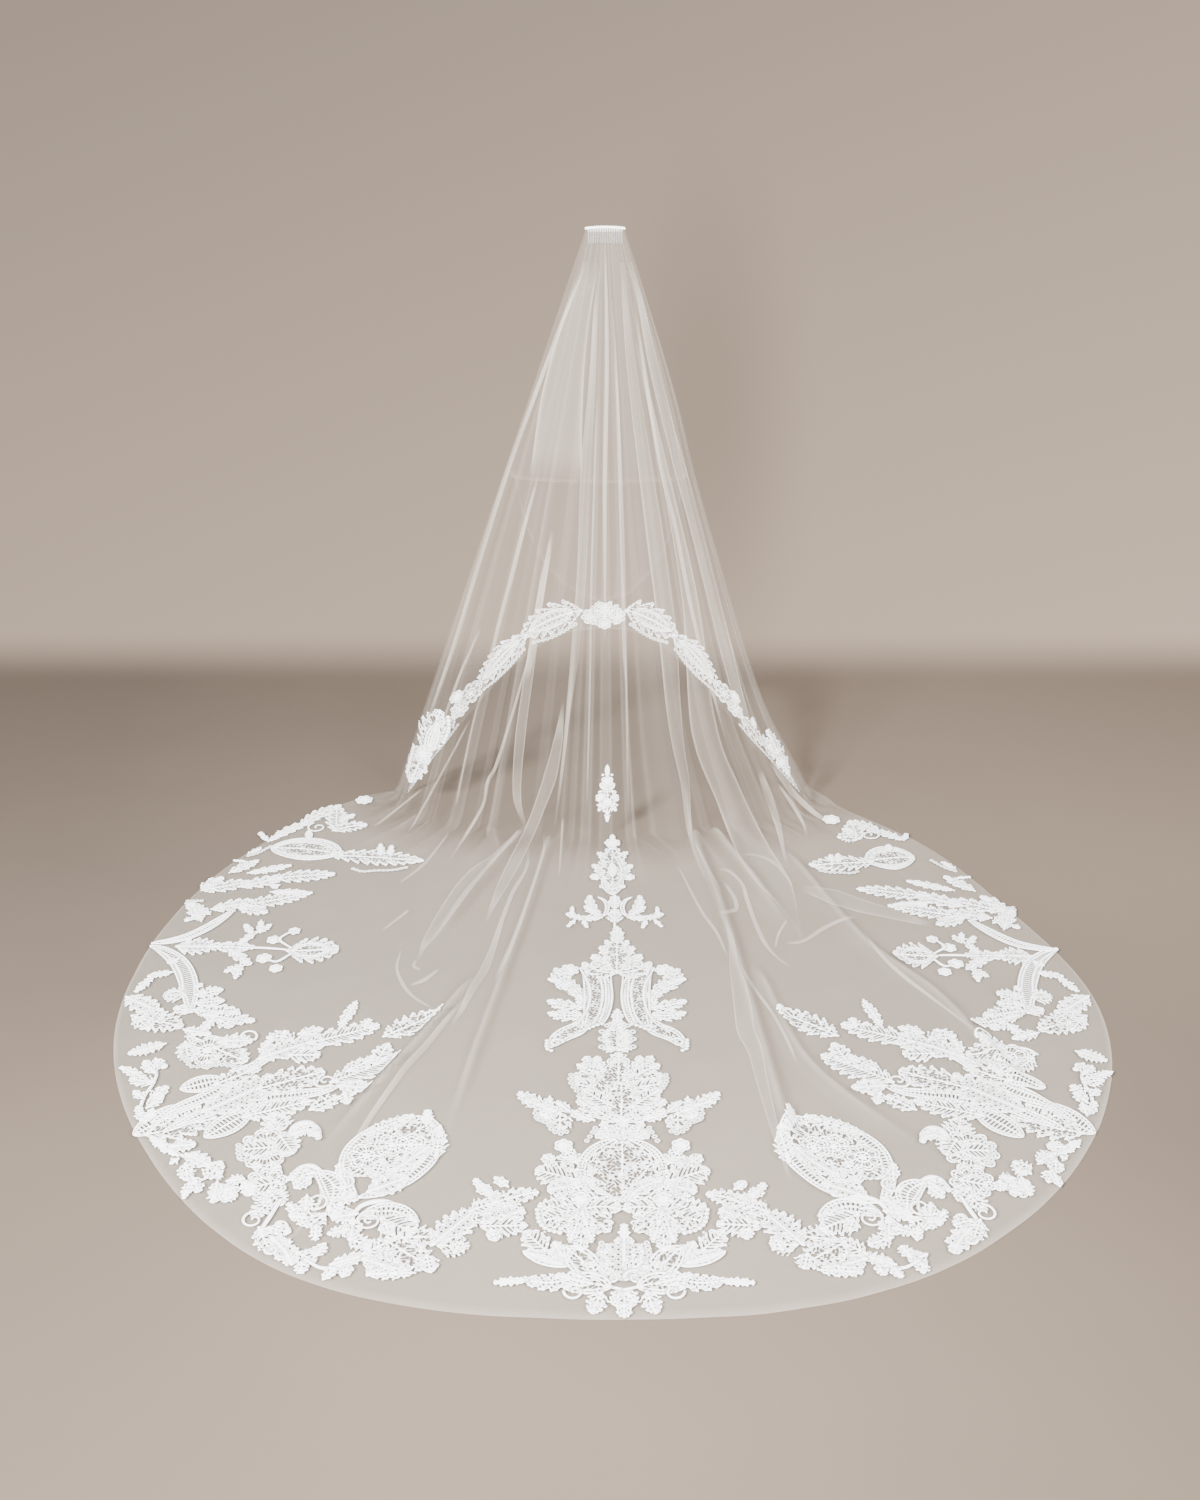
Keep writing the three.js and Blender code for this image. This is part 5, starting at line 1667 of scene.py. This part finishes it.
OVAL_MEDALLION = [
    Band([(1075, 880), (1030, 800), (1040, 690), (1110, 610), (1230, 545), (1370, 520)], 34),
    Band([(1090, 870), (1200, 840), (1320, 770), (1400, 690), (1430, 600), (1390, 520)], 34),
    Leaf((1040, 780), (1400, 540), 120, 0, 4, "worms"),
    Flower((1120, 690), 40, 7),
    Flower((1230, 640), 36, 7),
    Flower((1310, 640), 34, 6),
    Leaf((1150, 800), (1190, 700), 44),
    Leaf((1200, 780), (1400, 640), 52, 0, 5, "rings"),
    Leaf((1380, 560), (1386, 486), 26, 0, 2, "plain"),
    Leaf((1420, 600), (1440, 560), 22, 0, 2, "plain"),
    Leaf((1100, 600), (1330, 510), 40, 0, 7),
    Leaf((1420, 700), (1440, 580), 40, 0, 5),
    Curl((1025, 800), 24, 1.3, 200),
    Leaf((1010, 790), (1000, 720), 26, 0, 2),
    Leaf((1070, 850), (1000, 900), 34, 0, 3, "rings"),
    Leaf((1010, 890), (962, 958), 30),
    Leaf((1120, 850), (1300, 780), 60, 0, 5, "rings"),
]

LONG_CURL = [
    Cord([(1050, 960), (1100, 905), (1190, 888), (1270, 920), (1340, 975)], 13),
    Cord([(1075, 990), (1110, 935), (1190, 912), (1260, 950)], 8),
    Leaf((1080, 960), (1342, 976), 46, 0.2, 1, "bars"),
    Curl((1132, 972), 28, 1.7, 60),
    Leaf((1180, 960), (1332, 1030), 74, 0, 5),
    Leaf((1200, 980), (1215, 1032), 36, 0, 3),
    Leaf((1080, 940), (960, 960), 44, 0, 4, "rings"),
    Leaf((1060, 960), (1050, 1060), 40, 0, 4, "worms"),
    Leaf((1040, 1010), (950, 1030), 34),
    Leaf((1040, 1050), (1140, 1088), 40),
]

SWAG = [
    Leaf((815, 1110), (900, 1150), 46),
    Leaf((840, 1150), (830, 1205), 30, 0, 3),
    Leaf((890, 1130), (940, 1070), 30),
    Cord([(850, 1140), (930, 1180), (1030, 1160), (1120, 1120), (1220, 1150)], 9),
    Leaf((1000, 1160), (926, 1232), 26),
    Leaf((1050, 1160), (1010, 1222), 28, 0, 3),
    Leaf((960, 1165), (1130, 1120), 34, 0, 5, "rings"),
    Leaf((1100, 1140), (1300, 1200), 62, 0, 5, "rings"),
    Leaf((1100, 1120), (1250, 1050), 46, 0, 5),
    Curl((1260, 1120), 30, 1.2, 100),
    Curl((1310, 1150), 24, 1.1, 300),
    Leaf((1240, 1050), (1430, 1040), 66, 0, 5, "worms"),
    Leaf((1200, 1060), (1410, 1180), 70, 0, 6, "worms"),
    Leaf((1380, 1120), (1400, 1200), 40, 0, 3),
    Leaf((1330, 1200), (1110, 1205), 30, 0, 5),
    Leaf((1400, 1080), (1600, 920), 74, 0, 6, "rings"),
    Leaf((1430, 1080), (1568, 1080), 60, 0, 5, "worms"),
    Leaf((1500, 1110), (1530, 1060), 34, 0, 3),
]

# The swag's inner end, which reaches towards the bell medallion
SWAG_END = [
    Flower((128, 712), 46, 8),
    Leaf((190, 640), (22, 525), 30, 0.1, 3, "rings"),
    Leaf((200, 570), (130, 520), 26, 0, 3),
    Leaf((100, 670), (365, 600), 48, 0.06, 6, "worms"),
    Leaf((60, 760), (290, 690), 70, 0, 6, "rings"),
    Leaf((60, 780), (300, 770), 60, 0, 6),
    Leaf((110, 790), (138, 858), 30, 0, 3),
    Leaf((0, 700), (110, 660), 50),
]

# The side motifs: their drawing on the left, and their root and tip on each side of the train, in
# millimetres on the floor plan. The right one is the left one mirrored and laid to its own places.
Side = namedtuple("Side", "name part drawing left_root left_tip right_root right_tip")
SIDES = [
    Side("side_scroll", LEFT_TOP, SIDE_SCROLL, (-700, -36), (-900, -96), (668, -100), (805, -108)),
    Side("egg_leaf", LEFT_TOP, EGG_LEAF, (-905, -178), (-548, -236), (835, -226), (588, -264)),
    Side("upper_leaf", LEFT_TOP, UPPER_LEAF, (-1020, -372), (-735, -312), (985, -470), (680, -392)),
    Side("inner_leaf", LEFT_TOP, INNER_LEAF, (-1080, -640), (-765, -404), (1070, -672), (730, -468)),
    Side("stem_bud", LEFT_TOP, STEM_BUD, (-1010, -672), (-650, -668), (1000, -712), (700, -688)),
    Side("edge_leaf", LEFT_TOP, EDGE_LEAF, (-1070, -740), (-800, -955), (1070, -750), (830, -968)),
    Side("edge_spray", LEFT_TOP, EDGE_SPRAY, (-1082, -905), (-950, -995), (1096, -905), (972, -1008)),
    Side("crest", LEFT_LOW, CREST, (-955, -1045), (-785, -1035), (948, -1112), (826, -1030)),
    Side("twig", LEFT_LOW, TWIG, (-1000, -1140), (-950, -1310), (1050, -1150), (1000, -1285)),
    Side("big_leaf", LEFT_LOW, BIG_LEAF, (-930, -1345), (-384, -934), (965, -1340), (405, -932)),
    Side("flower_spray", LEFT_LOW, FLOWER_SPRAY, (-690, -1400), (-600, -1690), (735, -1405), (662, -1662)),
    Side("border_spray", LEFT_LOW, BORDER_SPRAY, (-890, -1372), (-785, -1500), (935, -1375), (860, -1475)),
    Side("lower_sprig", LEFT_LOW, LOWER_SPRIG, (-762, -1472), (-716, -1560), (815, -1462), (790, -1540)),
    Side("oval_medallion", LEFT_LOW, OVAL_MEDALLION,
         (-506, -1482), (-376, -1272), (550, -1488), (388, -1274)),
    Side("curl", LEFT_LOW, CURL_ROWS, (-528, -1585), (-568, -1450), (572, -1590), (622, -1478)),
    Side("long_curl", LEFT_LOW, LONG_CURL, (-480, -1590), (-362, -1612), (535, -1584), (408, -1600)),
    Side("swag", LEFT_LOW, SWAG, (-556, -1712), (-160, -1572), (575, -1712), (218, -1572)),
]


def left_rows(side):
    rows = on_floor(side.part, side.drawing)
    if side.drawing is SWAG:
        rows = rows + on_floor(CENTRE_LOW, SWAG_END)
    return rows


def carried_right(side, rows):
    """The left motif mirrored, then turned and scaled so that its root and tip meet the right one's."""
    from_root = complex(-side.left_root[0], side.left_root[1])
    from_tip = complex(-side.left_tip[0], side.left_tip[1])
    to_root = complex(*side.right_root)
    to_tip = complex(*side.right_tip)
    turn = (to_tip - to_root) / (from_tip - from_root)

    def move(point):
        place = to_root + turn * (complex(-point[0], point[1]) - from_root)
        return (place.real, place.imag)
    return [moved(row, move, True) for row in rows]


def build_floor_lace():
    motifs = {
        "shield": on_floor(SHIELD_PART, SHIELD),
        "wing_crest": on_floor(CENTRE_TOP, WING_CREST),
        "keyhole_arch": on_floor(CENTRE_TOP, KEYHOLE_ARCH),
        "pine": on_floor(CENTRE_TOP, PINE),
        "bloom": on_floor(CENTRE_TOP, BLOOM_TOP) + on_floor(CENTRE_LOW, BLOOM_LOW),
        "spray_left": on_floor(CENTRE_LOW, SPRAY),
        "spray_right": on_floor(CENTRE_LOW, mirrored(SPRAY_AXIS, SPRAY)),
        "bell_medallion": on_floor(CENTRE_LOW, BELL_MEDALLION),
        "palmette": on_floor(CENTRE_LOW, PALMETTE),
    }
    for side in SIDES:
        rows = left_rows(side)
        motifs[side.name + "_left"] = rows
        motifs[side.name + "_right"] = carried_right(side, rows)
    for name, rows in motifs.items():
        piece = lace_piece("lace_" + name, rows, lie_on_floor)
        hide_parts(name)


# The finial, drawn in millimetres on the front panel, up from its foot
FINIAL_ROWS = both_sides(0, [
    Leaf((0, 30), (0, 0), 16, 0, 2, "plain"),
    Leaf((0, 22), (0, 112), 60, 0, 4, "worms"),
    Flower((18, 72), 15, 6),
    Flower((14, 48), 12, 6),
    Flower((0, 60), 13, 6),
    Leaf((4, 96), (20, 116), 14, 0, 1),
    Flower((0, 122), 17, 6),
    Leaf((0, 134), (0, 172), 14, 0, 1, "plain"),
    Knobs([(12, 141)], 4),
    Knobs([(22, 36)], 5),
])
FINIAL_SIDE = 0.008
FINIAL_ABOVE_FLOOR = 0.05
LEAST_ALONG = 0.1


def lie_on_front(x, y, heights):
    across = FINIAL_SIDE + x / 1000
    angle = np.arcsin(np.clip(across / CONE_HALF_WIDTH, -1, 1))
    hanging, _ = column_lengths(angle)
    along = hanging - FINIAL_ABOVE_FLOOR - y / 1000
    angle = angle * hanging / np.maximum(along, LEAST_ALONG)
    lift = (OFF_THE_TULLE + heights) / 1000
    return base_point(angle, along) + outward(angle, along) * lift[:, None]


# The lace band along the arched hem, drawn in millimetres: along from the middle, up from the hem
HEM_BAND_ROWS = [
    Leaf((-52, 46), (54, 46), 84, 0, 4, "rings"),
    Flower((-34, 40), 27, 7),
    Flower((34, 42), 26, 7),
    Flower((0, 58), 29, 8),
    Flower((0, 16), 18, 6),
] + both_sides(0, [
    Leaf((56, 62), (214, 60), 112, 0, 4, "worms"),
    Leaf((78, 60), (192, 60), 62, 0, 1, "rings"),
    Knobs([(78, 20), (120, 6), (160, 4), (200, 18)], 6),
    Leaf((200, 54), (404, 52), 94, 0, 3, "worms"),
    Leaf((225, 54), (380, 52), 50, 0, 1, "rings"),
    Knobs([(235, 18), (290, 8), (350, 8), (400, 18)], 6),
    Flower((432, 56), 44, 8),
    Flower((492, 50), 36, 8),
    Flower((462, 98), 24, 7),
    Leaf((520, 48), (664, 46), 78, 0, 4, "worms"),
    Flower((596, 88), 24, 7),
    Flower((680, 50), 36, 8),
    Leaf((700, 48), (880, 48), 80, 0, 5, "worms"),
    Knobs([(540, 8), (600, 3), (660, 6), (740, 4), (820, 8)], 6),
])
HEM_STEPS = 2400
HEM_END = 0.3
LEAST_SLANT = 0.6
HEM_MARGIN = 1e-4
OFF_THE_HEM = 1.5


def from_middle(angle):
    """An angle that runs on past the back, as one from minus half a turn to half a turn."""
    return np.where(angle > math.pi, angle - 2 * math.pi, angle)


def hem_table():
    """Along the arched hem: angles, distances from its middle, and how the cloth's length runs to it.

    The cloth's length is slanted to the hem, so each place also has the sine and the cotangent of
    the angle between the two.
    """
    end = FLOOR_EDGE + HEM_MARGIN
    past_back = np.linspace(end, 2 * math.pi - end, HEM_STEPS)
    angle = from_middle(past_back)
    points = hem_point(angle)
    steps = np.linalg.norm(np.diff(points, axis=0), axis=-1)
    lengths = np.concatenate([[0], np.cumsum(steps)])
    hem_way = np.gradient(points, axis=0)
    hem_way /= np.linalg.norm(hem_way, axis=-1, keepdims=True)
    up_way = heading_point(angle, HEADING) - points
    up_way /= np.linalg.norm(up_way, axis=-1, keepdims=True)
    cosine = np.sum(hem_way * up_way, axis=-1)
    sine = np.clip(np.sqrt(1 - cosine ** 2), LEAST_SLANT, 1)
    return past_back, lengths - lengths[-1] / 2, sine, cosine / sine


def lie_on_hem(x, y, heights):
    angles, lengths, sines, cotangents = hem_table()
    run = -x / 1000
    up = y / 1000
    to_end = np.clip((lengths[-1] - np.abs(run)) / HEM_END, 0, 1)
    slid = run - up * np.interp(run, lengths, cotangents) * to_end
    angle = from_middle(np.interp(slid, lengths, angles))
    _, whole = column_lengths(angle)
    along = whole - up / np.interp(run, lengths, sines)
    point, _ = cloth_point(angle, along)
    lift = (OFF_THE_HEM + heights) / 1000
    return point + outward(angle, along) * lift[:, None]


# Where the band wraps round the sides of the cone, in millimetres: in from the side's edge, and up
# from the floor
WRAP_LEFT_ROWS = [
    Leaf((40, 200), (40, 340), 78, 0, 5, "worms"),
    Leaf((44, 205), (44, 300), 36, 0, 1, "rings"),
    Leaf((38, 214), (24, 100), 58, 0, 4, "worms"),
    Flower((34, 196), 26, 8),
    Knobs([(10, 120), (8, 160), (6, 200)], 5),
    Knobs([(76, 250), (78, 290), (66, 325)], 5),
]
WRAP_RIGHT_ROWS = [
    Leaf((24, 120), (20, 270), 34, 0, 4, "worms"),
    Flower((24, 165), 18, 7),
]
OFF_THE_PLEATS = 14


def lie_on_side(hand):
    """Lays a motif on the left (-1) or right (1) side of the cone, where it faces the front."""
    def settle(x, y, heights):
        share = 1 - y / 1000 / COMB_HEIGHT
        half = HEADING.across + (CONE_HALF_WIDTH - HEADING.across) * share
        angle = hand * np.arcsin(np.clip(1 - x / 1000 / half, -1, 1))
        hanging, _ = column_lengths(angle)
        along = hanging * share
        lift = (OFF_THE_PLEATS + heights) / 1000
        return draw_in(base_point(angle, along) + outward(angle, along) * lift[:, None])
    return settle


def build_hanging_lace():
    finial = lace_piece("lace_finial", FINIAL_ROWS, lie_on_front)
    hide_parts("finial")
    hem = lace_piece("lace_hem", HEM_BAND_ROWS, lie_on_hem)
    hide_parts("hem_lace")
    lace_piece("lace_hem_wrap_left", WRAP_LEFT_ROWS, lie_on_side(-1))
    lace_piece("lace_hem_wrap_right", WRAP_RIGHT_ROWS, lie_on_side(1))


# Stage, light and camera: the floor's half-width, and how far under the cloth it lies
STAGE_HALF = 9.0
STAGE_DROP = 0.001


def build_stage():
    far = FLOOR_FAR + SEAM
    under = FLOOR_Z - STAGE_DROP
    plan = [(-STAGE_HALF, -STAGE_HALF), (STAGE_HALF, -STAGE_HALF), (STAGE_HALF, far), (-STAGE_HALF, far)]
    floor = make_mesh("floor", [(x, y, under) for x, y in plan], [(0, 1, 2, 3)], smooth=False)
    floor.data.materials.append(floor_material())


Lamp = namedtuple("Lamp", "name place aim size power")
LAMPS = [
    Lamp("key", (-2.8, -4.4, 1.8), (0, -0.6, -1.2), 1.0, 1650),
    Lamp("fill", (3.0, -4.0, 1.8), (0, -0.2, -1.0), 3.0, 850),
    Lamp("overhead", (-0.4, -1.6, 2.8), (0, -1.0, FLOOR_Z), 1.6, 150),
]
LIGHT_COLOUR = (0.955, 0.985, 1.0)

# The background is brighter low down and to the right
BRIGHT_WAY = (0.35, 0, -1)
BRIGHTENING = (-0.2, 0.6)
DULL_COLOUR = (0.41, 0.325, 0.262)
BRIGHT_COLOUR = (0.97, 0.74, 0.565)

# The soft shadow on the background, to the right of the cone: its middle in the photograph's pixels,
# its half-width and half-height as parts of the view, where it begins and ends as shares of those,
# and the light left in it
SHADE_PLACE = (705, 440)
SHADE_HALF = (0.055, 0.14)
SHADE_FADE = (0.1, 1.5)
SHADE_SHARE = 0.74


def add_lamp(lamp):
    light = bpy.data.lights.new(lamp.name, "AREA")
    light.shape = "DISK"
    light.size = lamp.size
    light.energy = lamp.power
    light.color = LIGHT_COLOUR
    holder = bpy.data.objects.new(lamp.name, light)
    holder.location = lamp.place
    holder.rotation_euler = (Vector(lamp.aim) - Vector(lamp.place)).to_track_quat("-Z", "Y").to_euler()
    bpy.context.scene.collection.objects.link(holder)


def build_background():
    world = bpy.data.worlds.new("studio")
    bpy.context.scene.world = world
    world.use_nodes = True
    tree = world.node_tree

    def vectors(operation, inputs, output="Vector"):
        return add_node(tree, "VectorMath", inputs, operation=operation).outputs[output]

    way = add_node(tree, "TexCoord", {}).outputs["Generated"]
    toward = vectors("DOT_PRODUCT", {0: way, 1: BRIGHT_WAY}, "Value")
    colour = add_ramp(tree, add_range(tree, toward, *BRIGHTENING), DULL_COLOUR, BRIGHT_COLOUR)
    middle = Vector(pixel_ray(*np.array(SHADE_PLACE, float))).normalized()
    off = vectors("SUBTRACT", {0: way, 1: middle})
    scaled = vectors("MULTIPLY", {0: off, 1: (1 / SHADE_HALF[0], 0, 1 / SHADE_HALF[1])})
    reach = vectors("LENGTH", {0: scaled}, "Value")
    shade = add_range(tree, reach, *SHADE_FADE, SHADE_SHARE, 1, curve="SMOOTHSTEP")
    dimmed = vectors("SCALE", {0: colour, "Scale": shade})
    set_inputs(tree, tree.nodes["Background"], {"Color": dimmed})


def build_camera():
    data = bpy.data.cameras.new("camera")
    data.sensor_fit = "VERTICAL"
    data.sensor_height = SENSOR
    data.lens = SENSOR * LENS_PIXELS / PHOTO_HEIGHT
    camera = bpy.data.objects.new("camera", data)
    camera.location = CAMERA_PLACE
    camera.rotation_euler = (math.pi / 2 - CAMERA_PITCH, 0, 0)
    bpy.context.scene.collection.objects.link(camera)
    bpy.context.scene.camera = camera


build_camera()
build_stage()
for lamp in LAMPS:
    add_lamp(lamp)
build_background()

tulle = tulle_material()
veil_cloth = build_tulle()
dress(veil_cloth, tulle)
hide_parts("veil_tulle")

short_cloth = build_inner_tulle()
dress(short_cloth, tulle)
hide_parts("inner_tulle")

comb = frame["nodes"]["comb"]
comb.data.materials.clear()
comb.data.materials.append(comb_material())

cloth_folds = build_folds(veil_cloth)
dress(cloth_folds, tulle)

lace = lace_material()
build_floor_lace()
build_hanging_lace()

lace_pieces = [o for o in bpy.context.scene.objects if o.name.startswith("lace_")]
